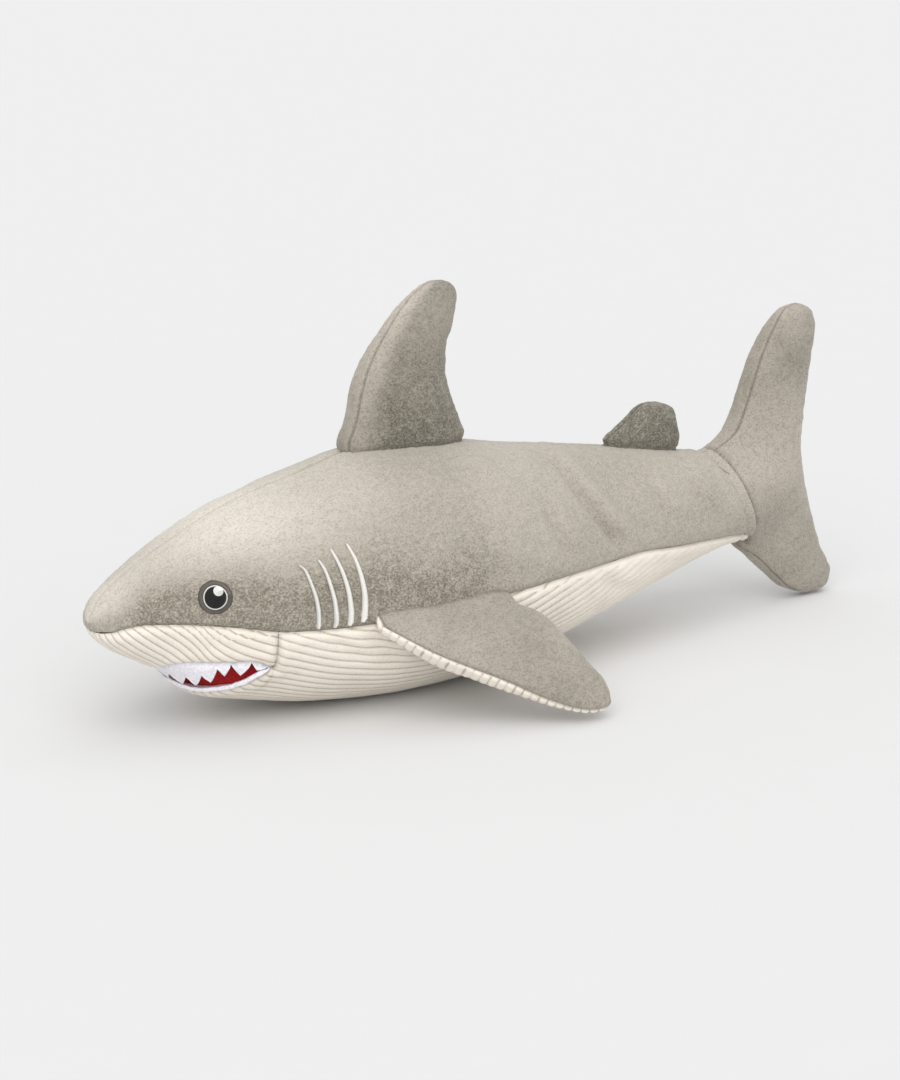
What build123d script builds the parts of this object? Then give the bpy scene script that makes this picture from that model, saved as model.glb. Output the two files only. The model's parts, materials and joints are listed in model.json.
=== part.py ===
"""A stuffed toy shark: sewn fabric panels over fibre filling, with fins that flex where they are sewn.

Millimetres, +Z up. The shark lies on its belly, with its nose towards -X and its left side towards -Y.
While it is modelled, x is measured from the tip of the nose. At the end every piece is moved so that
the origin is under the middle of the whole toy, on the surface that it lies on.
"""

import os
from math import atan2, cos, degrees, sin

from build123d import *

# Torso: the nose is at x = 0, and the middle of the tail seam is at x = TORSO_LENGTH
TORSO_LENGTH = 478.0
TORSO_WIDTH = 150.0
TORSO_HEIGHT = 151.0
WIDEST_AT = 0.42  # share of a section's height, from below, where it is widest

# Shares of the torso's length, then of its width and of its height, for the top and for the bottom
TORSO_STATIONS = [
    (0.003, 0.070, 0.545, 0.485),
    (0.017, 0.190, 0.580, 0.420),
    (0.052, 0.360, 0.652, 0.329),
    (0.115, 0.573, 0.752, 0.187),
    (0.199, 0.760, 0.862, 0.083),
    (0.303, 0.920, 0.943, 0.012),
    (0.418, 1.000, 1.000, -0.018),
    (0.523, 0.985, 0.975, -0.005),
    (0.628, 0.893, 0.918, 0.050),
    (0.732, 0.760, 0.866, 0.126),
    (0.837, 0.613, 0.812, 0.212),
    (0.921, 0.493, 0.762, 0.281),
    (1.000, 0.393, 0.722, 0.325),
    (1.060, 0.345, 0.700, 0.345),
]
SIDE_SEAM = [  # shares of the torso's length and height
    (-0.050, 0.440),
    (0.012, 0.455),
    (0.053, 0.487),
    (0.120, 0.472),
    (0.212, 0.421),
    (0.315, 0.416),
    (0.500, 0.434),
    (0.764, 0.456),
    (0.860, 0.430),
    (0.960, 0.380),
    (1.060, 0.300),
]
TAIL_SEAM_TILT = 20.8  # degrees that the top of the tail seam leans towards the nose

# Materials
FABRIC = 2.0
FELT = 1.5
THREAD_RELIEF = 0.9  # how far embroidery stands above the fabric
FILLING_GAP = 0.25  # between a panel and the filling behind it

# Mouth: points are shares of the torso's length and height
UPPER_LIP = [(0.184, 0.296), (0.157, 0.307), (0.125, 0.306), (0.100, 0.298), (0.084, 0.280)]
LOWER_LIP = [(0.096, 0.160), (0.119, 0.184), (0.140, 0.190), (0.163, 0.234), (0.184, 0.296)]
CHIN_FRONT = (0.060, 0.130)
SNOUT_SEAM = 0.196  # where the snout panel meets the belly panel
MOUTH_DEPTH = 12.0
GUM_HEIGHT = 4.0
TOOTH_LENGTH = 6.5
TOOTH_PITCH = 9.0
TEETH_PER_SIDE = 6
LIP_BAND_HEIGHT = 4.0

# Embroidered eyes
EYE_X = 0.131  # shares of the torso's length and height
EYE_Z = 0.576
PUPIL_RADIUS = 6.4
IRIS_RING = 0.9
EYE_SURROUND = 3.0
GLINT_RADIUS = 2.9
GLINT_SHIFT = 2.6  # towards the tail
GLINT_RISE = 3.2

# Embroidered gills
GILL_COUNT = 4
FIRST_GILL = 0.248  # share of the torso's length
GILL_PITCH = 10.0
GILL_FOOT = 1.5  # above the side seam
FIRST_GILL_HEIGHT = 37.0
GILL_HEIGHT_STEP = 3.0
GILL_LEAN = 5.0  # how far the top of a gill leans towards the nose
GILL_BOW = 1.0  # how far the middle of a gill bows towards the tail
GILL_TAPER = 0.5  # a gill's width at its top, as a share of its width at its foot
FIRST_GILL_WIDTH = 1.6
GILL_WIDTH_STEP = 0.4

# Fins. LIFT is how far a fin's hinge line stands off the torso. The tail's root is a ball on that line,
# and the other fins' roots are half-round bars. A root is thicker than its fin by a margin.
# Rows are shares: height above the hinge line, front edge and back edge along the chord, thickness.
DORSAL_AT = 0.379  # share of the torso's length
DORSAL_CHORD = 86.0
DORSAL_HEIGHT = 95.0
DORSAL_THICKNESS = 27.0
DORSAL_LIFT = 7.0
DORSAL_ROWS = [
    (0.00, 0.00, 0.98, 0.88),
    (0.15, 0.00, 0.90, 1.00),
    (0.27, 0.02, 0.84, 0.97),
    (0.42, 0.07, 0.79, 0.86),
    (0.57, 0.15, 0.79, 0.76),
    (0.69, 0.25, 0.83, 0.66),
    (0.80, 0.35, 0.86, 0.54),
    (0.88, 0.44, 0.87, 0.42),
    (0.95, 0.55, 0.84, 0.28),
    (1.00, 0.66, 0.79, 0.12),
]
REAR_DORSAL_AT = 0.787
REAR_DORSAL_CHORD = 61.0
REAR_DORSAL_HEIGHT = 27.0
REAR_DORSAL_THICKNESS = 14.0
REAR_DORSAL_LIFT = 4.0
REAR_DORSAL_ROWS = [
    (0.00, 0.00, 0.98, 0.90),
    (0.20, 0.09, 0.97, 1.00),
    (0.45, 0.20, 0.93, 0.92),
    (0.70, 0.31, 0.89, 0.74),
    (0.89, 0.40, 0.81, 0.50),
    (1.00, 0.52, 0.72, 0.22),
]
PECTORAL_AT = 0.328
PECTORAL_RISE = 0.440  # share of the torso's height
PECTORAL_CHORD = 83.0
PECTORAL_LENGTH = 80.5
PECTORAL_THICKNESS = 20.0
PECTORAL_LIFT = 8.0
PECTORAL_DROOP = 42.0  # degrees below the horizontal
PECTORAL_ROWS = [
    (0.00, -0.02, 1.12, 0.94),
    (0.10, 0.04, 1.27, 1.00),
    (0.22, 0.14, 1.33, 1.00),
    (0.37, 0.30, 1.38, 0.95),
    (0.52, 0.51, 1.43, 0.88),
    (0.67, 0.73, 1.48, 0.78),
    (0.80, 0.91, 1.51, 0.64),
    (0.91, 1.08, 1.50, 0.46),
    (0.98, 1.26, 1.45, 0.24),
    (1.00, 1.33, 1.40, 0.12),
]
TAIL_CHORD = 92.0
TAIL_HEIGHT = 200.0
TAIL_THICKNESS = 40.0
TAIL_LIFT = 10.0
TAIL_ROWS = [  # heights and edges are measured from the middle of the tail seam
    (-0.390, 0.82, 0.91, 0.10),
    (-0.375, 0.68, 0.97, 0.24),
    (-0.340, 0.54, 1.00, 0.40),
    (-0.285, 0.39, 0.96, 0.50),
    (-0.220, 0.23, 0.90, 0.62),
    (-0.150, 0.02, 0.83, 0.80),
    (-0.075, -0.15, 0.78, 0.95),
    (0.000, -0.22, 0.73, 1.00),
    (0.075, -0.22, 0.70, 0.95),
    (0.150, -0.12, 0.69, 0.80),
    (0.225, 0.02, 0.69, 0.68),
    (0.325, 0.12, 0.72, 0.60),
    (0.430, 0.21, 0.76, 0.52),
    (0.520, 0.32, 0.79, 0.40),
    (0.580, 0.43, 0.76, 0.26),
    (0.612, 0.52, 0.66, 0.10),
]
BAR_MARGIN = 1.1  # from a fin's half thickness at its hinge line to its bar's radius
BALL_MARGIN = 4.0  # from the tail's half thickness to its ball's radius
HINGE_CLEARANCE = 0.6  # between a fin's round root and its groove
GROOVE_OVERRUN = 3.0  # how far a groove runs past each end of a fin's root

LEAST = 0.8  # sections thinner than this are left out of an inner form
FAR = 900.0  # reaches well past the toy, for cutting tools


def slope(rows, k, column):
    """The slope of a smooth curve through the rows at row k, flat where they turn back."""
    last = len(rows) - 1
    before = rows[k][column] - rows[max(k - 1, 0)][column]
    after = rows[min(k + 1, last)][column] - rows[k][column]
    if k > 0:
        before /= rows[k][0] - rows[k - 1][0]
    if k < last:
        after /= rows[k + 1][0] - rows[k][0]
    if k == 0:
        return after
    if k == last:
        return before
    if before * after <= 0:
        return 0.0
    return 2 * before * after / (before + after)


def between(rows, x):
    """The rows' values at x, on a smooth curve that doesn't overshoot them."""
    i = sum(1 for row in rows[1:-1] if row[0] <= x)
    run = rows[i + 1][0] - rows[i][0]
    t = (x - rows[i][0]) / run
    values = []
    for column in range(1, len(rows[0])):
        start = rows[i][column]
        end = rows[i + 1][column]
        leave = slope(rows, i, column) * run * t * (1 - t) ** 2
        arrive = slope(rows, i + 1, column) * run * t**2 * (1 - t)
        values.append(start + (end - start) * (3 * t**2 - 2 * t**3) + leave - arrive)
    return values


def torso_at(x):
    """The torso's half width, top, bottom and height of its widest line at x."""
    width, top, bottom = between(TORSO_STATIONS, x / TORSO_LENGTH)
    top *= TORSO_HEIGHT
    bottom *= TORSO_HEIGHT
    return width * TORSO_WIDTH / 2, top, bottom, bottom + (top - bottom) * WIDEST_AT


def side_at(x, z):
    """How far the torso's side is from its middle plane at x and z."""
    half, top, bottom, widest = torso_at(x)
    reach = top - widest if z > widest else widest - bottom
    return half * max(0.0, 1 - ((z - widest) / reach) ** 2) ** 0.5


def side_normal(x, z):
    """The outward direction of the torso's left side at x and z."""
    step = 1.0
    along = (side_at(x + step, z) - side_at(x - step, z)) / (2 * step)
    up = (side_at(x, z + step) - side_at(x, z - step)) / (2 * step)
    return Vector(-along, -1, -up).normalized()


def on_torso(share):
    """A side-view point given as shares of the torso's length and height."""
    return share[0] * TORSO_LENGTH, share[1] * TORSO_HEIGHT


def side_prism(outline):
    """A side-view outline run right through the toy from side to side."""
    return extrude(Plane.XZ * make_face(outline), amount=FAR / 2, both=True)


def half_space(sign):
    """Everything on the left (-1) or on the right (+1) of the middle plane."""
    side = Align.MAX if sign < 0 else Align.MIN
    return Box(2 * FAR, FAR, 2 * FAR, align=(Align.CENTER, side, Align.CENTER))


def tail_seam():
    """The frame of the tail seam: its origin is the seam's middle, and +X points out of the torso."""
    _, top, bottom, _ = torso_at(TORSO_LENGTH)
    return Pos(TORSO_LENGTH, 0, (top + bottom) / 2) * Rot(0, -TAIL_SEAM_TILT, 0)


def behind_tail_seam(shift):
    """Everything further back than the tail seam moved back by shift."""
    block = Box(FAR, FAR, FAR, align=(Align.MIN, Align.CENTER, Align.CENTER))
    return tail_seam() * Pos(shift, 0, 0) * block


def envelope(inset):
    """The torso's whole form taken in by inset, without its grooves."""
    sections = []
    for share, *_ in TORSO_STATIONS:
        half, top, bottom, widest = torso_at(share * TORSO_LENGTH)
        x = share * TORSO_LENGTH + inset * (1 - share)
        if widest - bottom - inset < LEAST:
            continue
        upper = EllipticalCenterArc((0, widest), half - inset, top - widest - inset, 0, arc_size=180)
        depth = widest - bottom - inset
        lower = EllipticalCenterArc((0, widest), half - inset, depth, 180, arc_size=180)
        sections.append(Plane.YZ.offset(x) * make_face([upper, lower]))
    ground = Pos(0, 0, inset) * Box(2 * FAR, FAR, FAR, align=(Align.CENTER, Align.CENTER, Align.MAX))
    return loft(sections) - behind_tail_seam(-inset) - ground


def fin_form(rows, length, height, half, root, inset):
    """A fin's blade taken in by inset: X along the chord, Y across the fin and Z outwards."""
    sizes = []
    for share, front, back, thick in rows:
        size = (share * height, front * length + inset, back * length - inset, thick * half - inset)
        if size[3] > LEAST and size[2] - size[1] > LEAST:
            sizes.append(size)
    if root:
        sizes.insert(0, (-root, *sizes[0][1:]))
    sections = []
    for z, front, back, thick in sizes:
        shape = Ellipse((back - front) / 2, thick)
        sections.append(Pos((front + back) / 2, 0, z) * shape)
    return loft(sections)


def bar_radius(rows, thickness):
    """The radius of a fin's bar root."""
    return rows[0][3] * thickness / 2 + BAR_MARGIN


def hinged_fin(place, rows, chord, height, thickness, inset):
    """A fin with a half-round root about local X, in the toy's frame."""
    root = bar_radius(rows, thickness)
    blade = fin_form(rows, chord, height, thickness / 2, root, inset)
    barrel = Rot(0, 90, 0) * Cylinder(root - inset, FAR)
    outwards = Box(FAR, FAR, FAR, align=(Align.CENTER, Align.CENTER, Align.MIN))
    return place * (blade & (barrel + outwards))


def groove(place, length, radius):
    """A round groove about local X, from the start of the root to its end."""
    return place * Pos(length / 2, 0, 0) * Rot(0, 90, 0) * Cylinder(radius, length)


def top_place(start, chord, lift):
    """The hinge frame of a fin on the torso's back, which starts at the share start of its length."""
    x = start * TORSO_LENGTH
    front = torso_at(x)[1]
    back = torso_at(x + chord)[1]
    fall = degrees(atan2(front - back, chord))
    return Pos(x, 0, front) * Rot(0, fall, 0) * Pos(0, 0, lift)


def pectoral_place():
    """The hinge frame of the left side fin: +Z points out and down, and +Y is its upper face."""
    x = PECTORAL_AT * TORSO_LENGTH
    z = PECTORAL_RISE * TORSO_HEIGHT
    front = side_at(x, z)
    back = side_at(x + PECTORAL_CHORD, z)
    heading = degrees(atan2(front - back, PECTORAL_CHORD))
    root = Pos(x, -front, z) * Rot(0, 0, heading)
    return root * Rot(90 + PECTORAL_DROOP, 0, 0) * Pos(0, 0, PECTORAL_LIFT)


def tail_ball(grow):
    """The tail's ball root on its leaning hinge line, let out by grow."""
    return tail_seam() * Pos(TAIL_LIFT, 0, 0) * Sphere(TAIL_THICKNESS / 2 + BALL_MARGIN + grow)


def tail_form(inset):
    """The tail fin taken in by inset, with a ball root that turns in the torso's end."""
    middle = tail_seam().position
    blade = Pos(*middle) * fin_form(TAIL_ROWS, TAIL_CHORD, TAIL_HEIGHT, TAIL_THICKNESS / 2, 0, inset)
    return blade & (tail_ball(-inset) + behind_tail_seam(TAIL_LIFT + inset))


def mouth_prism(grow):
    """The mouth's opening in side view, let out by grow, run from side to side."""
    upper = [on_torso(point) for point in UPPER_LIP]
    lower = [on_torso(point) for point in [CHIN_FRONT, *LOWER_LIP]]
    upper = [(x + grow * (i == 0), z + grow) for i, (x, z) in enumerate(upper)]
    lower = [(x, z - grow) for x, z in lower]
    corner = (upper[0][0], lower[-1][1])
    lower[-1] = corner if grow else upper[0]
    edges = Polyline(*upper, *lower, close=bool(grow))
    return side_prism(edges)


def snout_prism():
    """Everything ahead of the snout seam and above the middle of the mouth, in side view."""
    seam = SNOUT_SEAM * TORSO_LENGTH
    corner = on_torso(UPPER_LIP[0])
    chin = on_torso(CHIN_FRONT)
    below, above = on_torso(LOWER_LIP[1]), on_torso(UPPER_LIP[3])
    middle = (below[0], (above[1] + below[1]) / 2)
    behind = [(seam, TORSO_HEIGHT), (seam, corner[1]), corner]
    ahead = [middle, chin, (-FAR, chin[1]), (-FAR, TORSO_HEIGHT)]
    return side_prism(Polyline(*behind, *ahead, close=True))


def below_side_seam():
    """Everything under the side seam, where the corduroy is."""
    points = [on_torso(share) for share in SIDE_SEAM]
    ends = Polyline(points[-1], (points[-1][0], -FAR), (points[0][0], -FAR), points[0])
    return side_prism(Spline(*points) + ends)


def teeth(layer):
    """The upper teeth: one felt strip behind the upper lip, cut into points along its lower edge."""
    x = on_torso(UPPER_LIP[-1])[0]
    lip = on_torso(UPPER_LIP[2])[1]
    strip = layer & side_prism(Polyline(*lip_band(UPPER_LIP, 0, GUM_HEIGHT), close=True))
    y = TOOTH_PITCH / 2
    outline = [(-TOOTH_PITCH / 2, GUM_HEIGHT), (TOOTH_PITCH / 2, GUM_HEIGHT), (0, -TOOTH_LENGTH)]
    tooth = extrude(Plane.XZ * make_face(Polyline(*outline, close=True)), amount=TOOTH_PITCH, both=True)
    for _ in range(TEETH_PER_SIDE):
        while side_at(x, lip - GUM_HEIGHT) < y:
            x += 0.1
        spread = side_at(x + 1, lip - GUM_HEIGHT) - side_at(x - 1, lip - GUM_HEIGHT)
        heading = atan2(spread, 2.0)
        for side in (-1, 1):
            turned = Pos(x, side * y, lip - GUM_HEIGHT) * Rot(0, 0, side * degrees(heading)) * tooth
            strip += turned & layer
        x += TOOTH_PITCH * cos(heading)
        y += TOOTH_PITCH * sin(heading)
    return strip


def lip_band(lip, above, below):
    """A side-view band along a lip, from above it to below it."""
    line = [on_torso(point) for point in lip]
    return [(x, z + above) for x, z in line] + [(x, z - below) for x, z in reversed(line)]


def eye_pieces(thread, glint_thread):
    """The left eye's pupil, iris ring, surround and glint, lying on the fabric."""
    x, z = on_torso((EYE_X, EYE_Z))
    face = Plane(origin=(x, -side_at(x, z), z), z_dir=side_normal(x, z), x_dir=(1, 0, 0))
    iris = PUPIL_RADIUS + IRIS_RING
    surround = iris + EYE_SURROUND
    depth = 2 * surround
    pupil = Circle(PUPIL_RADIUS)
    pieces = {"pupil": pupil, "ring": Circle(iris) - pupil, "surround": Circle(surround) - Circle(iris)}
    solids = {}
    for name, shape in pieces.items():
        solids[name] = extrude(face * shape, amount=depth, both=True) & thread
    glint = Pos(GLINT_SHIFT, GLINT_RISE) * Circle(GLINT_RADIUS)
    solids["glint"] = extrude(face * glint, amount=depth, both=True) & glint_thread
    return solids


def gill_pieces(thread):
    """The left side's gill stitches, as narrow strips that widen downwards."""
    stitches = []
    for i in range(GILL_COUNT):
        x = FIRST_GILL * TORSO_LENGTH + i * GILL_PITCH
        z = between(SIDE_SEAM, x / TORSO_LENGTH)[0] * TORSO_HEIGHT + GILL_FOOT
        height = FIRST_GILL_HEIGHT + i * GILL_HEIGHT_STEP
        width = FIRST_GILL_WIDTH + i * GILL_WIDTH_STEP
        foot, waist, top = [width / 2 * share for share in (1, (1 + GILL_TAPER) / 2, GILL_TAPER)]
        line = [(x, z, foot), (x + GILL_BOW, z + height / 2, waist), (x - GILL_LEAN, z + height, top)]
        back = Spline(*[(px + half, pz) for px, pz, half in line])
        front = Spline(*[(px - half, pz) for px, pz, half in reversed(line)])
        outline = [back, Line(back @ 1, front @ 0), front, Line(front @ 1, back @ 0)]
        stitches.append(extrude(Plane.XZ * make_face(outline), amount=FAR / 2) & thread)
    return stitches


def hinged_fins():
    """Each fin with a bar root: its hinge frame, then its rows, chord, height and thickness."""
    dorsal = (DORSAL_ROWS, DORSAL_CHORD, DORSAL_HEIGHT, DORSAL_THICKNESS)
    rear = (REAR_DORSAL_ROWS, REAR_DORSAL_CHORD, REAR_DORSAL_HEIGHT, REAR_DORSAL_THICKNESS)
    side = (PECTORAL_ROWS, PECTORAL_CHORD, PECTORAL_LENGTH, PECTORAL_THICKNESS)
    return {
        "dorsal": (top_place(DORSAL_AT, DORSAL_CHORD, DORSAL_LIFT), dorsal),
        "rear_dorsal": (top_place(REAR_DORSAL_AT, REAR_DORSAL_CHORD, REAR_DORSAL_LIFT), rear),
        "pectoral": (pectoral_place(), side),
    }


def grooves(grow):
    """The torso's room for every fin's root, let out by grow."""
    cuts = []
    for place, (rows, chord, _, thickness) in hinged_fins().values():
        start = rows[0][1] * chord - GROOVE_OVERRUN - grow
        end = rows[0][2] * chord + GROOVE_OVERRUN + grow
        radius = bar_radius(rows, thickness) + HINGE_CLEARANCE + grow
        cuts.append(groove(place * Pos(start, 0, 0), end - start, radius))
    cuts.append(mirror(cuts[-1], about=Plane.XZ))
    cuts.append(tail_ball(HINGE_CLEARANCE + grow))
    return cuts


def torso(inset):
    """The torso taken in by inset, with its grooves."""
    return envelope(inset) - grooves(inset)


def torso_pieces():
    """The torso's four panels, the mouth's lining and felts, and the filling."""
    mouth = mouth_prism(0) - envelope(MOUTH_DEPTH)
    skin = torso(0) - torso(FABRIC) - mouth
    corduroy = skin & below_side_seam()
    back = skin - below_side_seam()
    pocket = mouth_prism(FELT) - envelope(MOUTH_DEPTH + FELT)
    felt = (envelope(FABRIC) - envelope(FABRIC + FELT)) & mouth_prism(0)
    upper_teeth = teeth(felt) & mouth_prism(0)
    lower_edge = side_prism(Polyline(*lip_band(LOWER_LIP, LIP_BAND_HEIGHT, 0), close=True))
    return {
        "back_panel_left": back & half_space(-1),
        "back_panel_right": back & half_space(1),
        "snout_panel": corduroy & snout_prism(),
        "belly_panel": corduroy - snout_prism(),
        "mouth_lining": (pocket & torso(FABRIC)) - mouth,
        "upper_teeth": upper_teeth,
        "lower_lip_band": (felt & lower_edge) - upper_teeth,
        "torso_filling": torso(FABRIC + FILLING_GAP) - mouth_prism(FELT + FILLING_GAP),
    }


def fin_pieces():
    """Every fin's two panels and filling, with only the left one of the side fins."""
    pieces = {}
    for name, (place, sizes) in hinged_fins().items():
        skin = hinged_fin(place, *sizes, 0) - hinged_fin(place, *sizes, FABRIC)
        near = place * half_space(-1)
        first, second = ("left", "right")
        if name == "pectoral":
            name, first, second = ("pectoral_left", "underside", "top")
        pieces[f"{name}_{first}_panel"] = skin & near
        pieces[f"{name}_{second}_panel"] = skin - near
        pieces[f"{name}_filling"] = hinged_fin(place, *sizes, FABRIC + FILLING_GAP)
    tail_skin = tail_form(0) - tail_form(FABRIC)
    pieces["tail_left_panel"] = tail_skin & half_space(-1)
    pieces["tail_right_panel"] = tail_skin & half_space(1)
    pieces["tail_filling"] = tail_form(FABRIC + FILLING_GAP)
    return pieces


def embroidery():
    """The left side's eye and gills."""
    thread = envelope(-THREAD_RELIEF) - envelope(0)
    glint_thread = envelope(-2 * THREAD_RELIEF) - envelope(-THREAD_RELIEF)
    pieces = {f"eye_{name}_left": solid for name, solid in eye_pieces(thread, glint_thread).items()}
    for i, stitch in enumerate(gill_pieces(thread)):
        pieces[f"gill_stitch_left_{i + 1}"] = stitch
    return pieces


def build():
    """Every piece by its name, in the frame that is used while modelling."""
    pieces = {**torso_pieces(), **fin_pieces(), **embroidery()}
    for name in list(pieces):
        if name.startswith(("pectoral", "eye", "gill")):
            pieces[name.replace("left", "right")] = mirror(pieces[name], about=Plane.XZ)
    return pieces


def main():
    """Builds every piece, moves it into the final frame and writes it."""
    os.makedirs("parts", exist_ok=True)
    pieces = build()
    boxes = [piece.bounding_box() for piece in pieces.values()]
    middle_x = (min(box.min.X for box in boxes) + max(box.max.X for box in boxes)) / 2
    lowest = min(box.min.Z for box in boxes)
    for name, piece in pieces.items():
        export_step(Pos(-middle_x, 0, -lowest) * piece, f"parts/{name}.step")


if __name__ == "__main__":
    main()
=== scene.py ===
"""Looks of a stuffed toy shark: velour and corduroy panels, embroidered eyes and gills, felt teeth."""

import json
import logging
import math
from dataclasses import dataclass, field
from enum import Enum
from typing import Callable, Optional, Sequence

import bmesh
import bpy
import numpy as np
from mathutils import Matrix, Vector
from mathutils.kdtree import KDTree


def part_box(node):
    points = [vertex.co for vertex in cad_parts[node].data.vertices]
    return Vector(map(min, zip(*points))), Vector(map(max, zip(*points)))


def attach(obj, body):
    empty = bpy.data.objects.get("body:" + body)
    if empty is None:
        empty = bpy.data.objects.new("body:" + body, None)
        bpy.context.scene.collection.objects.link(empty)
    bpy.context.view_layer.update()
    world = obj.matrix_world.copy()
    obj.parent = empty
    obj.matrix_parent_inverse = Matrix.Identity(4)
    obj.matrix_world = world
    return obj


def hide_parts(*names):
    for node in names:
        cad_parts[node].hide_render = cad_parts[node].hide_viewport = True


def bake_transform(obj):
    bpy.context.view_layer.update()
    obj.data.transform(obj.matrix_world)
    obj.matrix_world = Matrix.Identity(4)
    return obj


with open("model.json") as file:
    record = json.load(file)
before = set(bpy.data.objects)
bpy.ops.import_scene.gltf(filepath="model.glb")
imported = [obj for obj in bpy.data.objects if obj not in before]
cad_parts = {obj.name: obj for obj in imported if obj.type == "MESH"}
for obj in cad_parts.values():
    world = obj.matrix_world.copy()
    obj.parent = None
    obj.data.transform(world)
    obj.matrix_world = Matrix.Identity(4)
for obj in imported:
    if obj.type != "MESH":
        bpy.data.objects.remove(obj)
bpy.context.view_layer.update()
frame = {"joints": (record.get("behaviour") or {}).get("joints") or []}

LOG = logging.getLogger("toy_shark")
MM = 0.001
Array = np.ndarray
Colour = tuple[float, float, float]


class Side(Enum):
    """A side of the toy, valued by the sign of its Y."""

    LEFT = -1
    RIGHT = 1

    @property
    def word(self) -> str:
        """The side's name in the nodes' names."""
        return self.name.lower()


class Body(Enum):
    """The bodies that pieces ride on."""

    TORSO = "torso"
    DORSAL = "dorsal_fin"
    REAR_DORSAL = "rear_dorsal_fin"
    PECTORAL_LEFT = "pectoral_fin_left"
    PECTORAL_RIGHT = "pectoral_fin_right"
    TAIL = "tail_fin"


# ---------------------------------------------------------------- curves and noise


def smooth_curve(xs: Sequence[float], ys: Sequence[float], at: Array) -> Array:
    """Reads a smooth curve through points without overshooting them.

    Args:
        xs: The points' places, rising.
        ys: The points' values.
        at: Where to read the curve.

    Returns:
        The curve's values at those places.
    """
    x, y = np.asarray(xs, float), np.asarray(ys, float)
    run = np.diff(x)
    rise = np.diff(y) / run
    slope = np.zeros_like(y)
    before, after = rise[:-1], rise[1:]
    turning = before * after <= 0
    total = np.where(turning, 1.0, before + after)
    slope[1:-1] = np.where(turning, 0.0, 2 * before * after / total)
    slope[0], slope[-1] = rise[0], rise[-1]
    at = np.clip(np.asarray(at, float), x[0], x[-1])
    i = np.clip(np.searchsorted(x, at, side="right") - 1, 0, len(run) - 1)
    t = (at - x[i]) / run[i]
    eased = 3 * t**2 - 2 * t**3
    curve = y[i] + (y[i + 1] - y[i]) * eased
    return curve + run[i] * (slope[i] * t * (1 - t) ** 2 - slope[i + 1] * t**2 * (1 - t))


def ease(low: float, high: float, at: Array) -> Array:
    """A smooth step.

    Args:
        low: Where it starts to rise from 0.
        high: Where it reaches 1.
        at: Where to read it.

    Returns:
        The step's values at those places.
    """
    t = np.clip((np.asarray(at, float) - low) / (high - low), 0, 1)
    return t * t * (3 - 2 * t)


def bell(distance: Array, width: float) -> Array:
    """A soft bump, 1 at no distance and near 0 at twice the width."""
    return np.exp(-((distance / width) ** 2))


def lumps(points: Array, cell: float, seed: int) -> Array:
    """Smooth noise that is the same on every run.

    Args:
        points: Places in millimetres, with X, Y and Z last.
        cell: The size of a lump in millimetres.
        seed: Which pattern of lumps.

    Returns:
        Values from about -1 to 1.
    """
    scaled = points / cell
    corner = np.floor(scaled).astype(np.int64)
    part = scaled - corner
    weight = part * part * (3 - 2 * part)
    total = np.zeros(points.shape[:-1])
    for dx in (0, 1):
        for dy in (0, 1):
            for dz in (0, 1):
                key = (corner[..., 0] + dx) * 73856093
                key ^= (corner[..., 1] + dy) * 19349663
                key ^= (corner[..., 2] + dz) * 83492791
                key = (key + seed * 2654435761) & 0xFFFFFFFF
                key = ((key ^ (key >> 13)) * 1274126177) & 0xFFFFFFFF
                value = (key ^ (key >> 16)) / 2.0**31 - 1.0
                share = weight[..., 0] if dx else 1 - weight[..., 0]
                share = share * (weight[..., 1] if dy else 1 - weight[..., 1])
                share = share * (weight[..., 2] if dz else 1 - weight[..., 2])
                total += value * share
    return total


def facing(points: Array, outward: Array) -> Array:
    """The unit normals of a grid of points, on the side that outward points to."""
    along, across = np.gradient(points, axis=0), np.gradient(points, axis=1)
    normal = np.cross(along, across)
    length = np.linalg.norm(normal, axis=-1, keepdims=True)
    guess = outward / np.maximum(np.linalg.norm(outward, axis=-1, keepdims=True), 1e-9)
    normal = np.where(length > 1e-6, normal / np.maximum(length, 1e-9), guess)
    return normal * np.where((normal * outward).sum(-1, keepdims=True) < 0, -1.0, 1.0)


def distance_to(points: Array, curves: Sequence[Array]) -> Array:
    """How far each point is from the nearest point of some curves.

    Args:
        points: Places in millimetres, with X, Y and Z last.
        curves: Rows of close-set points.

    Returns:
        The distances in millimetres, in the shape of the points.
    """
    line = np.concatenate([np.asarray(curve).reshape(-1, 3) for curve in curves])
    tree = KDTree(len(line))
    for i, place in enumerate(line):
        tree.insert(place, i)
    tree.balance()
    flat = points.reshape(-1, 3)
    found = np.array([tree.find(place)[2] for place in flat])
    return found.reshape(points.shape[:-1])


def rib_profile(across: Array) -> Array:
    """How high corduroy's ribs stand, from 0 to 1, at distances across them in millimetres."""
    return np.abs(np.cos(np.pi * across / RIB_PITCH)) ** RIB_ROUNDING


def run_along(points: Array, axis: int) -> Array:
    """The length along one direction of a grid, from its first row or column."""
    step = np.linalg.norm(np.diff(points, axis=axis), axis=-1)
    start = np.zeros_like(np.take(step, [0], axis=axis))
    return np.concatenate([start, np.cumsum(step, axis=axis)], axis=axis)


# ---------------------------------------------------------------- finishes


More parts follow.
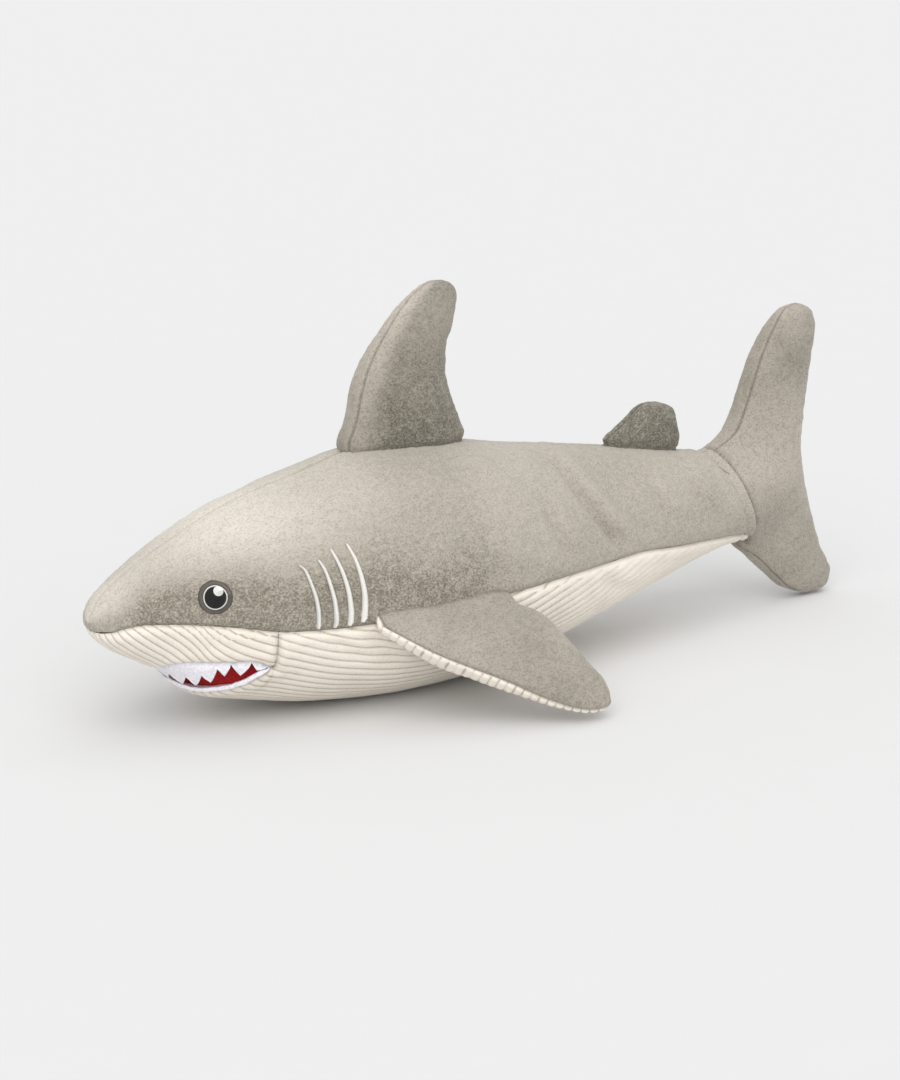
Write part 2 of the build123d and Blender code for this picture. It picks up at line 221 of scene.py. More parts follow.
class Shader:
    """A material's node tree, with short ways to add to it."""

    @staticmethod
    def title(name: str) -> str:
        """The name of the material for a slot, apart from the plain one that the frame has."""
        return f"sewn_{name}"

    def __init__(self, name: str) -> None:
        """Starts a material with one surface shader."""
        self.material = bpy.data.materials.new(self.title(name))
        self.material.use_nodes = True
        self.tree = self.material.node_tree
        self.surface = self.tree.nodes["Principled BSDF"]
        self.place = self.node("ShaderNodeTexCoord").outputs["Object"]

    def node(self, kind: str, **settings: object) -> bpy.types.Node:
        """Adds a node and sets its properties."""
        made = self.tree.nodes.new(kind)
        for key, value in settings.items():
            setattr(made, key, value)
        return made

    def link(self, source: bpy.types.NodeSocket, target: bpy.types.NodeSocket) -> None:
        """Joins two sockets."""
        self.tree.links.new(source, target)

    def attribute(self, name: str) -> bpy.types.NodeSocket:
        """The value of one of the piece's own attributes."""
        return self.node("ShaderNodeAttribute", attribute_name=name).outputs["Fac"]

    def stretched(self, scale: Sequence[float]) -> bpy.types.NodeSocket:
        """Object coordinates stretched along the axes."""
        mapping = self.node("ShaderNodeMapping")
        mapping.inputs["Scale"].default_value = scale
        self.link(self.place, mapping.inputs["Vector"])
        return mapping.outputs["Vector"]

    def noise(
        self,
        size_mm: float,
        detail: float = 2.0,
        rough: float = 0.5,
        place: Optional[bpy.types.NodeSocket] = None,
    ) -> bpy.types.NodeSocket:
        """Noise with features of a real size.

        Args:
            size_mm: The size of a feature.
            detail: How many finer octaves it has.
            rough: How strong the finer octaves are.
            place: Other coordinates than the object's own.

        Returns:
            The noise's value, from 0 to 1.
        """
        made = self.node("ShaderNodeTexNoise")
        made.inputs["Scale"].default_value = 1000.0 / size_mm
        made.inputs["Detail"].default_value = detail
        made.inputs["Roughness"].default_value = rough
        self.link(place or self.place, made.inputs["Vector"])
        return made.outputs["Fac"]

    def ramp(
        self, value: bpy.types.NodeSocket, stops: Sequence[tuple[float, Colour]]
    ) -> bpy.types.NodeSocket:
        """A value turned into a colour by stops along a ramp."""
        made = self.node("ShaderNodeValToRGB")
        marks = made.color_ramp.elements
        while len(marks) < len(stops):
            marks.new(0.5)
        for mark, (at, colour) in zip(marks, stops):
            mark.position = at
            mark.color = (*linear(colour), 1.0)
        self.link(value, made.inputs["Fac"])
        return made.outputs["Color"]

    def blend(self, amount: bpy.types.NodeSocket, low: Colour, high: Colour) -> bpy.types.NodeSocket:
        """A colour between two.

        Args:
            amount: 0 for the first colour and 1 for the second.
            low: The first colour.
            high: The second colour.

        Returns:
            The mixed colour.
        """
        made = self.node("ShaderNodeMix", data_type="RGBA")
        made.inputs[6].default_value = (*linear(low), 1.0)
        made.inputs[7].default_value = (*linear(high), 1.0)
        self.link(amount, made.inputs[0])
        return made.outputs[2]

    def spread(
        self, value: bpy.types.NodeSocket, low: float, high: float, to: Sequence[float]
    ) -> bpy.types.NodeSocket:
        """A value mapped from one range onto another and kept inside it.

        Args:
            value: The value.
            low: The first range's start.
            high: The first range's end.
            to: The other range's start and end.

        Returns:
            The mapped value.
        """
        made = self.node("ShaderNodeMapRange", interpolation_type="SMOOTHSTEP")
        for name, number in zip(("From Min", "From Max", "To Min", "To Max"), (low, high, *to)):
            made.inputs[name].default_value = number
        self.link(value, made.inputs["Value"])
        return made.outputs["Result"]

    def times(self, value: bpy.types.NodeSocket, by: bpy.types.NodeSocket) -> bpy.types.NodeSocket:
        """One value multiplied by another."""
        made = self.node("ShaderNodeMath", operation="MULTIPLY")
        self.link(value, made.inputs[0])
        self.link(by, made.inputs[1])
        return made.outputs["Value"]

    def tint(
        self, colour: bpy.types.NodeSocket, amount: bpy.types.NodeSocket, other: Colour, kind: str = "MIX"
    ) -> bpy.types.NodeSocket:
        """A colour mixed with another one by an amount.

        Args:
            colour: The colour to change.
            amount: How much of the other colour there is, from 0 to 1.
            other: The other colour.
            kind: How the two are mixed.

        Returns:
            The mixed colour.
        """
        made = self.node("ShaderNodeMix", data_type="RGBA", blend_type=kind)
        made.inputs[7].default_value = (*linear(other), 1.0)
        self.link(amount, made.inputs[0])
        self.link(colour, made.inputs[6])
        return made.outputs[2]

    def bump(
        self,
        height: bpy.types.NodeSocket,
        depth_mm: float,
        strength: float,
        below: Optional[bpy.types.NodeSocket] = None,
    ) -> bpy.types.NodeSocket:
        """Relief from a height.

        Args:
            height: The height, from 0 to 1.
            depth_mm: What a height of 1 is.
            strength: How much of the relief shows.
            below: Coarser relief that this one lies on.

        Returns:
            The normal.
        """
        made = self.node("ShaderNodeBump")
        made.inputs["Distance"].default_value = depth_mm * MM
        made.inputs["Strength"].default_value = strength
        self.link(height, made.inputs["Height"])
        if below is not None:
            self.link(below, made.inputs["Normal"])
        return made.outputs["Normal"]

    def finish(
        self,
        colour: bpy.types.NodeSocket,
        normal: bpy.types.NodeSocket,
        rough: float,
        sheen: float = 0.0,
        sheen_tint: Colour = (1.0, 1.0, 1.0),
        gloss: float = 0.2,
    ) -> bpy.types.Material:
        """Joins the colour and relief to the surface.

        Args:
            colour: The base colour.
            normal: The relief.
            rough: The roughness.
            sheen: How much the pile's tips catch light at the edges.
            sheen_tint: The colour of that light.
            gloss: The specular level.

        Returns:
            The finished material.
        """
        sockets = self.surface.inputs
        self.link(colour, sockets["Base Color"])
        self.link(normal, sockets["Normal"])
        sockets["Roughness"].default_value = rough
        sockets["Sheen Weight"].default_value = sheen
        sockets["Sheen Roughness"].default_value = 0.45
        sockets["Sheen Tint"].default_value = (*sheen_tint, 1.0)
        sockets["Specular IOR Level"].default_value = gloss
        return self.material


def linear(colour: Colour) -> Colour:
    """A screen colour as the linear colour that shaders take."""
    return tuple(c / 12.92 if c <= 0.04045 else ((c + 0.055) / 1.055) ** 2.4 for c in colour)


@dataclass(frozen=True)
class Velour:
    """Short brushed pile, with painted light and shade: paler where the pile's painted value is high and
    darker where it is low.
    """

    name: str
    light: Colour
    dark: Colour
    # The colour of painted shade at seams, creases and tucks
    seam: Colour
    smooth: float = 0.42

    def build(self) -> bpy.types.Material:
        """Makes the material."""
        shader = Shader(self.name)
        brushed = shader.stretched((0.7, 1.0, 0.85))
        clumps = shader.noise(3.4, 2.0, 0.55, brushed)
        fine = shader.noise(0.95, 2.0, 0.6, brushed)
        # Painted light and shade of the pile: the dark colour where the value is low, the light one where it
        # is high.
        nap = shader.attribute("nap")
        colour = shader.blend(nap, self.dark, self.light)
        # Random mottle of the pile, with painted shade in the relief's dips and painted light on its tips.
        dip_shade = tuple(c * 0.74 for c in self.dark)
        tip_light = tuple(min(1.0, c * 1.08) for c in self.light)
        contrast = shader.spread(nap, 0.0, 0.4, (1.0, self.smooth))
        for pattern, reach, deep, pale in ((fine, 0.14, 0.62, 0.22), (clumps, 0.17, 0.22, 0.10)):
            low = shader.times(shader.spread(pattern, 0.5, 0.5 + reach, (0.0, deep)), contrast)
            high = shader.times(shader.spread(pattern, 0.5, 0.5 - reach, (0.0, pale)), contrast)
            colour = shader.tint(shader.tint(colour, low, dip_shade), high, tip_light)
        # Painted shade at seams, creases and tucks.
        colour = shader.tint(colour, shader.attribute("seam"), self.seam)
        relief = shader.bump(clumps, -1.2, 0.4)
        relief = shader.bump(fine, -0.8, 0.6, relief)
        return shader.finish(colour, relief, 0.95, 0.3, (0.97, 0.96, 0.93), 0.08)


@dataclass(frozen=True)
class Corduroy:
    """Ribbed cotton, fuzzy on the ribs, with painted shade in the furrows."""

    name: str
    rib: Colour
    furrow: Colour
    # The colour of painted shade at seams, creases and tucks
    seam: Colour

    def build(self) -> bpy.types.Material:
        """Makes the material."""
        shader = Shader(self.name)
        rib = shader.spread(shader.attribute("rib"), 0.10, 0.72, (0.0, 1.0))
        # Painted shade in the furrows between the ribs.
        colour = shader.ramp(rib, [(0.0, self.furrow), (1.0, self.rib)])
        fuzz = shader.noise(1.2, 3.0, 0.7)
        colour = shader.tint(colour, shader.spread(fuzz, 0.50, 0.75, (0.0, 0.30)), self.furrow)
        broad = shader.noise(30.0, 2.0)
        colour = shader.tint(colour, shader.spread(broad, 0.45, 0.70, (0.0, 0.12)), self.furrow)
        # Painted shade at seams, creases and tucks.
        colour = shader.tint(colour, shader.attribute("seam"), self.seam)
        relief = shader.bump(fuzz, -0.6, 0.6)
        return shader.finish(colour, relief, 0.95, 0.15, (1.0, 0.97, 0.92), 0.08)


@dataclass(frozen=True)
class Felt:
    """Soft fleece or woven lining, with a fine irregular nap."""

    name: str
    body: Colour
    shade: Colour
    nap_mm: float = 1.4

    def build(self) -> bpy.types.Material:
        """Makes the material."""
        shader = Shader(self.name)
        nap = shader.noise(self.nap_mm, 4.0, 0.65)
        colour = shader.ramp(nap, [(0.30, self.shade), (0.62, self.body)])
        # Painted shade under the lips and beside the teeth's edge.
        colour = shader.tint(colour, shader.attribute("seam"), self.shade)
        return shader.finish(colour, shader.bump(nap, 0.7, 0.6), 0.92, 0.3, (1.0, 1.0, 1.0), 0.2)


@dataclass(frozen=True)
class SatinThread:
    """Embroidery thread laid side by side, with a soft shine along it."""

    name: str
    body: Colour
    shade: Colour
    gloss: float = 0.45
    thread_mm: float = 0.45

    def build(self) -> bpy.types.Material:
        """Makes the material."""
        shader = Shader(self.name)
        wave = shader.node("ShaderNodeTexWave", wave_type="BANDS", bands_direction="X")
        uv = shader.node("ShaderNodeUVMap", uv_map="lay")
        wave.inputs["Scale"].default_value = 1000.0 / (self.thread_mm * 6.2832)
        wave.inputs["Distortion"].default_value = 0.8
        shader.link(uv.outputs["UV"], wave.inputs["Vector"])
        threads = wave.outputs["Fac"]
        colour = shader.ramp(threads, [(0.05, self.shade), (0.55, self.body)])
        # Painted shade along the gills' edges, and the eye surround's dark outline stitches.
        colour = shader.tint(colour, shader.attribute("seam"), self.shade)
        return shader.finish(colour, shader.bump(threads, 0.25, 0.7), 0.42, 0.1, (1.0, 1.0, 1.0), self.gloss)


class Finish(Enum):
    """The toy's finishes by the record's material slots."""

    VELOUR_LIGHT = Velour("velour_light", (0.85, 0.822, 0.78), (0.54, 0.515, 0.465), (0.40, 0.38, 0.345))
    VELOUR_DARK = Velour("velour_dark", (0.76, 0.725, 0.68), (0.435, 0.42, 0.375), (0.33, 0.315, 0.285), 0.5)
    CORDUROY = Corduroy("corduroy", (0.92, 0.89, 0.845), (0.70, 0.66, 0.595), (0.50, 0.46, 0.40))
    FELT_WHITE = Felt("felt_white", (0.975, 0.97, 0.985), (0.86, 0.845, 0.89))
    LINING_RED = Felt("lining_red", (0.80, 0.20, 0.21), (0.60, 0.09, 0.11), 0.9)
    THREAD_BLACK = SatinThread("thread_black", (0.10, 0.10, 0.105), (0.03, 0.03, 0.03), 0.35)
    THREAD_BROWN = SatinThread("thread_brown", (0.46, 0.43, 0.395), (0.22, 0.20, 0.18))
    THREAD_WHITE = SatinThread("thread_white", (0.98, 0.975, 0.96), (0.83, 0.81, 0.78))

    @property
    def slot(self) -> str:
        """The record's material slot."""
        return self.value.name

    def material(self) -> bpy.types.Material:
        """The material, made once."""
        return bpy.data.materials.get(Shader.title(self.slot)) or self.value.build()


# ---------------------------------------------------------------- sewing pieces


@dataclass
class Cloth:
    """A piece of cloth laid out on a grid of points, before it becomes a mesh.

    The grid's points are in millimetres, and its normals point out of the toy. Each value is one
    number for each point.
    """

    name: str
    points: Array
    normal: Array
    values: dict[str, Array] = field(default_factory=dict)

    def raise_by(self, height: Array) -> None:
        """Moves each point out of the cloth by a height."""
        self.points = self.points + self.normal * height[..., None]

    def darken(self, amount: Array) -> None:
        """Marks painted shade at seams, creases and tucks, and dark outline stitches, from 0 to 1."""
        self.values["seam"] = np.maximum(self.values.get("seam", 0.0), amount)

    def sew(self, finish: Finish, thickness: float = 0.0) -> bpy.types.Object:
        """Makes the mesh.

        Args:
            finish: What it is made of.
            thickness: A wall in millimetres, inwards from the points, or 0 for a single face.

        Returns:
            The object, in the row's frame.
        """
        columns, rows = self.points.shape[0] - 1, self.points.shape[1] - 1
        bm = bmesh.new()
        bmesh.ops.create_grid(bm, x_segments=columns, y_segments=rows, size=1.0)
        lay = bm.loops.layers.uv.new("lay")
        layers = {name: bm.verts.layers.float.new(name) for name in self.values}
        along, across = run_along(self.points, 0) * MM, run_along(self.points, 1) * MM
        index: dict[bmesh.types.BMVert, tuple[int, int]] = {}
        for vert in bm.verts:
            index[vert] = (round((vert.co.x + 1) / 2 * columns), round((vert.co.y + 1) / 2 * rows))
        for face in bm.faces:
            for loop in face.loops:
                i, j = index[loop.vert]
                loop[lay].uv = (along[i, j], across[i, j])
        for vert, (i, j) in index.items():
            vert.co = Vector(self.points[i, j]) * MM
            for name, layer in layers.items():
                vert[layer] = float(self.values[name][i, j])
        bm.normal_update()
        score = 0.0
        for face in bm.faces:
            i, j = index[face.verts[0]]
            score += face.normal.dot(Vector(self.normal[i, j])) * face.calc_area()
        if score < 0:
            bmesh.ops.reverse_faces(bm, faces=bm.faces[:])
        bmesh.ops.remove_doubles(bm, verts=bm.verts[:], dist=0.00002)
        if thickness:
            bmesh.ops.solidify(bm, geom=bm.faces[:], thickness=thickness * MM)
        return as_object(bm, self.name, finish)


def as_object(bm: bmesh.types.BMesh, name: str, finish: Finish) -> bpy.types.Object:
    """Turns a bmesh into a smooth-shaded object of one finish.

    Args:
        bm: The mesh, which is freed.
        name: The piece's name.
        finish: What it is made of.

    Returns:
        The object.
    """
    mesh = bpy.data.meshes.new(name)
    bm.to_mesh(mesh)
    bm.free()
    for needed in ("seam", "rib", "nap"):
        if needed not in mesh.attributes:
            mesh.attributes.new(needed, "FLOAT", "POINT")
    mesh.shade_smooth()
    mesh.materials.append(finish.material())
    piece = bpy.data.objects.new(name, mesh)
    bpy.context.scene.collection.objects.link(piece)
    return piece


def report(piece: bpy.types.Object) -> None:
    """Says that a piece is done."""
    LOG.info("%s: %d faces", piece.name, len(piece.data.polygons))


def settle(piece: bpy.types.Object, body: Body, *nodes: str) -> bpy.types.Object:
    """Rides a piece on a body in place of CAD nodes.

    Args:
        piece: The piece.
        body: What it moves with.
        nodes: The CAD nodes that it stands for.

    Returns:
        The piece.
    """
    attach(piece, body.value)
    if nodes:
        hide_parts(*nodes)
    report(piece)
    return piece


# ---------------------------------------------------------------- torso


@dataclass(frozen=True)
class TorsoForm:
    """The smooth form that the torso's panels are sewn to, in millimetres from the nose's tip."""

    nose_cap: float = 1.434
    widest_at: float = 0.42
    ring_x: float = 478.0
    ring_z: float = 79.05
    ring_lean: float = 0.38
    # x, half width and top
    stations: tuple = (
        (0, 0, 71.5),
        (2, 10.5, 79.5),
        (8, 17.5, 86.0),
        (25, 28.5, 98.0),
        (55, 43, 113.5),
        (95, 57, 130.1),
        (145, 69, 142.2),
        (200, 75, 150.6),
        (250, 73.9, 147.2),
        (300, 67, 138.6),
        (350, 57, 130.8),
        (400, 46, 122.6),
        (440, 37, 115.1),
        (478, 29.5, 109.0),
        (510, 26, 105.0),
    )
    underside: tuple = (
        (0, 71.5),
        (2, 64.5),
        (8, 58.8),
        (25, 47.6),
        (41, 39.6),
        (49, 34.0),
        (60, 22.8),
        (72, 16.8),
        (95, 11.4),
        (145, 2.0),
        (200, -2.4),
        (250, -0.8),
        (300, 7.6),
        (350, 19.0),
        (400, 32.0),
        (440, 42.4),
        (478, 49.1),
        (510, 52.5),
    )
    side_seam: tuple = (
        (0, 66.0),
        (5.8, 67.8),
        (13, 71.4),
        (25, 73.5),
        (39, 73.2),
        (57, 71.2),
        (74, 68.6),
        (102, 63.6),
        (142, 62.4),
        (241, 65.9),
        (331, 68.6),
        (365, 69.2),
        (401, 65.4),
        (459, 57.7),
        (510, 44.0),
    )

    @property
    def shift(self) -> float:
        """Where the nose's tip is in the row's frame, in millimetres."""
        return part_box("back_panel_left")[0].x / MM - self.nose_cap

    def section(self, x: Array) -> tuple[Array, Array, Array, Array]:
        """The half width, top, bottom and widest height of the sections at x."""
        root = np.sqrt(np.maximum(x, 0.0))
        table, under = np.array(self.stations), np.array(self.underside)
        half, top = (smooth_curve(np.sqrt(table[:, 0]), table[:, k], root) for k in (1, 2))
        bottom = smooth_curve(np.sqrt(under[:, 0]), under[:, 1], root)
        return half, top, bottom, bottom + (top - bottom) * self.widest_at

    def seam_angle(self, x: Array) -> Array:
        """The angle round the left side at which the side seam runs."""
        table = np.array(self.side_seam)
        return self.angle(x, smooth_curve(table[:, 0], table[:, 1], x))

    def angle(self, x: Array, z: Array) -> Array:
        """The angle round the left side of a height: -pi/2 is the belly and pi/2 the back."""
        _, top, bottom, widest = self.section(x)
        reach = np.where(z > widest, top - widest, widest - bottom)
        return np.arcsin(np.clip((z - widest) / np.maximum(reach, 0.01), -1, 1))

    def at(self, x: Array, angle: Array) -> Array:
        """Points of the form, in the row's frame, in millimetres.

        Args:
            x: How far back from the nose's tip.
            angle: The angle round the side; past a quarter turn it is on the right side.

        Returns:
            The points, with X, Y and Z last.
        """
        half, top, bottom, widest = self.section(x)
        reach = np.where(np.sin(angle) > 0, top - widest, widest - bottom)
        z = widest + reach * np.sin(angle)
        z = 0.5 + np.log1p(np.exp((z - 0.5) / 1.2)) * 1.2
        return np.stack([x + self.shift, -half * np.cos(angle), z], axis=-1)

    def outward(self, points: Array) -> Array:
        """The direction away from the form's middle line at points near it."""
        x = points[..., 0] - self.shift
        _, _, _, widest = self.section(x)
        ahead = np.where(x < 40, (x - 40) * 0.7, 0.0)
        return np.stack([ahead, points[..., 1], points[..., 2] - widest], axis=-1)

    def normal(self, x: Array, angle: Array) -> Array:
        """The form's unit normals, outwards."""
        x = np.asarray(x, float) + 0.0 * angle
        ahead, behind = self.at(np.maximum(x - 0.5, 0.0), angle), self.at(x + 0.5, angle)
        inside = np.maximum(x, 0.05)
        below, above = self.at(inside, angle - 0.02), self.at(inside, angle + 0.02)
        normal = np.cross(behind - ahead, above - below)
        normal /= np.maximum(np.linalg.norm(normal, axis=-1, keepdims=True), 1e-9)
        outward = self.outward(self.at(x, angle))
        return normal * np.where((normal * outward).sum(-1, keepdims=True) < 0, -1.0, 1.0)

    def girth(self, x: Array, angle: Array) -> Array:
        """How far round the section a place is from the middle of the belly, in millimetres."""
        half, top, bottom, widest = self.section(x)
        share = np.linspace(0, 1, 33)[1:] - 1 / 64
        steps = -math.pi / 2 + (angle + math.pi / 2)[..., None] * share
        reach = np.where(steps > 0, (top - widest)[..., None], (widest - bottom)[..., None])
        speed = np.hypot(half[..., None] * np.sin(steps), reach * np.cos(steps))
        return speed.mean(-1) * (angle + math.pi / 2)

    def seam_start(self) -> float:
        """How far back from the nose's tip the side seams meet under it."""
        x = np.linspace(0.5, 20, 400)
        return float(x[np.argmax(self.seam_angle(x) > -math.pi / 2 + 0.001)])

    def height_above(self, points: Array) -> Array:
        """About how far points stand outside the form, in millimetres."""
        x = points[..., 0] - self.shift
        half, top, bottom, widest = self.section(x)
        rise = points[..., 2] - widest
        reach = np.where(rise > 0, top - widest, widest - bottom)
        share = np.hypot(points[..., 1] / np.maximum(half, 1), rise / np.maximum(reach, 1))
        return (share - 1) * np.hypot(points[..., 1], rise) / np.maximum(share, 0.05)

    def ring_gap(self, points: Array) -> Array:
        """How far points are ahead of the leaning tail seam, in millimetres."""
        end = self.ring_x - (points[..., 2] - self.ring_z) * self.ring_lean
        return end - (points[..., 0] - self.shift)

    def to_ring(self, x: Array, angle: Array) -> Array:
        """Moves the last stretch of x so that it ends on the leaning tail seam."""
        height = self.at(np.full_like(x, self.ring_x), angle)[..., 2]
        lean = -(height - self.ring_z) * self.ring_lean
        return x + lean * ease(0.72 * self.ring_x, self.ring_x, x)


FORM = TorsoForm()
# Between one rib of the corduroy and the next, in millimetres
RIB_PITCH = 5.4
# The power that widens the ribs' tops and narrows the gaps between them
RIB_ROUNDING = 0.6


@dataclass(frozen=True)
class Fold:
    """A soft crease that crosses the side, from one place to another in side view."""

    start: tuple[float, float]
    end: tuple[float, float]
    depth: float
    width: float

    def relief(self, points: Array) -> Array:
        """The height that the fold gives to points of a panel."""
        side = np.stack([points[..., 0] - FORM.shift, points[..., 2]], axis=-1)
        start, end = np.array(self.start), np.array(self.end)
        run = end - start
        length = np.linalg.norm(run)
        t = (side - start) @ run / length**2
        bow = 0.06 * length * np.sin(np.pi * np.clip(t, 0, 1))
        off = (side - start) @ np.array([-run[1], run[0]]) / length + bow
        window = ease(-0.15, 0.25, t) * (1 - ease(0.7, 1.15, t))
        valley = -bell(off, self.width)
        ridge = 0.75 * bell(off - 1.9 * self.width, 1.3 * self.width)
        return self.depth * window * (valley + ridge)


@dataclass
class TorsoPanels:
    """The torso's velour back and corduroy underside, sewn edge to edge."""

    rib_height: float = 1.1
    snout_seam: float = 95.6
    corner_height: float = 41.6
    tuck: float = 1.7
    far_folds: tuple = (13.0, 0.0, -4.0)
    nose_trim: float = 2.1
    folds: tuple = (
        Fold((317, 131), (352, 74), 4.6, 4.2),
        Fold((290, 112), (306, 74), 2.4, 5.0),
        Fold((386, 106), (403, 80), 2.1, 4.5),
        Fold((272, 80), (286, 62), 1.1, 4.5),
        Fold((424, 110), (446, 70), 1.0, 4.5),
        Fold((236, 92), (262, 70), 1.3, 6.0),
    )
    belly_folds: tuple = (
        Fold((128, 58), (150, 40), 1.4, 4.0),
        Fold((150, 60), (176, 34), 1.6, 5.0),
        Fold((330, 60), (366, 44), 1.3, 5.0),
    )
    # Along each lip, from the mouth's corner to the middle of its front: x and angle in degrees
    upper_lip: tuple = (
        (94.0, -23.0),
        (87.0, -19.0),
        (79.2, -17.5),
        (68.8, -18.5),
        (60.2, -21.5),
        (52.8, -29.8),
        (43.8, -46.0),
        (41.5, -57.2),
        (41.2, -74.5),
        (42.0, -90),
    )
    lower_lip: tuple = (
        (94.2, -24.0),
        (92.0, -27.5),
        (86.8, -34.5),
        (83.0, -40.2),
        (75.2, -49.0),
        (69.0, -55.2),
        (62.8, -67.8),
        (59.2, -80),
        (57.5, -90),
    )

    def lip(self, lip: tuple, at: Array) -> tuple[Array, Array]:
        """Reads a lip from its corner, at 0, to the middle of its front, at 1.

        Args:
            lip: The lip's points.
            at: Where along it.

        Returns:
            The x and the angle in radians.
        """
        table = np.array(lip, float)
        steps = FORM.at(table[:, 0], np.radians(table[:, 1]))
        run = np.concatenate([[0], np.cumsum(np.linalg.norm(np.diff(steps, axis=0), axis=1))])
        run /= run[-1]
        return smooth_curve(run, table[:, 0], at), np.radians(smooth_curve(run, table[:, 1], at))

    def corner_angle(self) -> float:
        """The angle at which the snout's rear seam meets the mouth's corner."""
        return float(FORM.angle(np.array(self.snout_seam), np.array(self.corner_height)))

    def sewn_edge(self, cloth: Cloth, edges: Sequence[Array], depth: float, width: float) -> None:
        """Pulls a panel in along its seams and puffs it beside them.

        Args:
            cloth: The panel.
            edges: The seams' points.
            depth: How deep the seam is.
            width: How wide it is.
        """
        gap = distance_to(cloth.points, edges)
        pucker = 0.4 * lumps(cloth.points, 5.0, 11) * bell(gap - 3, 5.0) * ease(0, 2, gap)
        cloth.raise_by(-depth * bell(gap, width) + 0.5 * bell(gap - 3.6 * width, 2.4 * width) + pucker)
        # Painted shade in the seam's groove.
        cloth.darken(0.35 * bell(gap, 0.5 * width + 0.3))

    def collar(self, cloth: Cloth) -> None:
        """Gives the torso's end its turned collar and the fold ahead of it."""
        gap = FORM.ring_gap(cloth.points)
        ridge = 1.3 * bell(gap - 3.2, 2.6) - 0.8 * bell(gap - 9.0, 2.2) + 0.5 * bell(gap - 14.0, 4.0)
        cloth.raise_by(ridge - 2.2 * bell(gap, 1.1))
        # Painted shade in the fold ahead of the collar and at the tail seam.
        cloth.darken(0.12 * bell(gap - 9.0, 1.2))
        cloth.darken(0.6 * bell(gap, 0.9))

    def back(self, side: Side) -> bpy.types.Object:
        """Makes one back panel, from the side seam to the centre of the back."""
        u, v = np.meshgrid(np.linspace(0, 1, 461), np.linspace(0, 1, 101), indexing="ij")
        nose = 0.035
        x = FORM.ring_x * u * u * (1 + nose) / (u + nose)
        low = FORM.seam_angle(x)
        angle = low + (math.pi / 2 - low) * v
        x = FORM.to_ring(x, angle)
        points = FORM.at(x, angle)
        cloth = Cloth(f"back_panel_{side.word}", points, FORM.normal(x, angle))
        start = FORM.seam_start()
        gap = distance_to(points, [points[x[:, 0] >= start, 0]])
        centre = distance_to(points, [points[:, -1], points[x[:, 0] < start, 0]])
        strength = 0.5 + 0.5 * bell(x - 160, 30)
        seams = -self.tuck * bell(gap, 1.2) + 0.6 * bell(gap - 7, 5)
        seams = seams - 1.3 * strength * bell(centre, 1.4) + 0.35 * bell(centre - 5, 4)
        broad = 0.9 * lumps(points, 55.0, 3) + 0.45 * lumps(points, 19.0, 5)
        pile = 0.26 * lumps(points, 2.6, 7) * ease(0, 1.5, gap)
        away = ease(0, 14, gap) * ease(0, 16, centre) * ease(20, 70, x)
        offset, strong = ((0.0, 0.0, 0.0), 1.0) if side is Side.LEFT else (self.far_folds, 0.65)
        folded = strong * sum(fold.relief(points - offset) for fold in self.folds)
        rise = 2.0 * bell(centre, 14.0) * bell(x - 176, 20.0)
        cloth.raise_by(seams + (broad + folded) * away + rise + pile - self.nose_trim * (1 - ease(0, 12, x)))
        # Painted shade along the side seam and the back's middle seam.
        cloth.darken(np.maximum(0.3 * bell(gap, 1.0), 0.4 * strength * bell(centre, 0.8)))
        self.collar(cloth)
        # Painted light and shade of the pile.
        cloth.values["nap"] = self.nap(x, points, gap, folded)
        if side is Side.RIGHT:
            cloth = mirrored(cloth, cloth.name)
        piece = cloth.sew(Finish.VELOUR_LIGHT)
        return settle(piece, Body.TORSO, f"back_panel_{side.word}")

    def nap(self, x: Array, points: Array, gap: Array, folded: Array) -> Array:
        """Painted light and shade of the back's pile: paler on the head's top and darker low on the cheeks
        and flank.

        Args:
            x: How far back each point is.
            points: The points.
            gap: How far each is from the side seam.
            folded: The height that folds give it.

        Returns:
            A value for each point, from 0 to 1.
        """
        _, top, _, widest = FORM.section(x)
        rise = (points[..., 2] - widest) / np.maximum(top - widest, 1)
        head = (1 - ease(50, 205, x)) * (0.68 + 0.32 * ease(40, 110, x))
        nap = 0.32 + 0.62 * ease(0.32, 1.08, rise) * head + 0.06 * ease(0.3, 0.9, rise)
        cheek = bell(gap, 30.0) * ease(8, 36, x) * (1 - ease(118, 190, x))
        flank = bell(points[..., 2] - 72, 20.0) * bell(x - 190, 42.0)
        nap = nap - 0.58 * cheek - 0.46 * flank
        return np.clip(nap + 0.09 * lumps(points, 30.0, 71) + 0.015 * folded, 0, 1)

    def ribs(self, cloth: Cloth, across: Array) -> None:
        """Raises the corduroy's ribs, counted from the middle of the belly, and keeps their profile for the
        furrows' painted shade.

        Args:
            cloth: The panel.
            across: The distance round the section from that middle, in millimetres.
        """
        rib = rib_profile(across)
        wear = 0.88 + 0.12 * lumps(cloth.points, 6.0, 21)
        rear = ease(240, 400, cloth.points[..., 0] - FORM.shift)
        cloth.raise_by(self.rib_height * (1 - 0.5 * rear) * (rib * wear - 0.65))
        # The furrows' painted shade fades towards the rear.
        cloth.values["rib"] = rib + (1 - rib) * 0.7 * rear

    @staticmethod
    def both(grid: Array, flip: object) -> Array:
        """A half panel's grid carried on over the middle line to the other side."""
        return np.concatenate([grid, grid[:, -2::-1] * flip], axis=1)

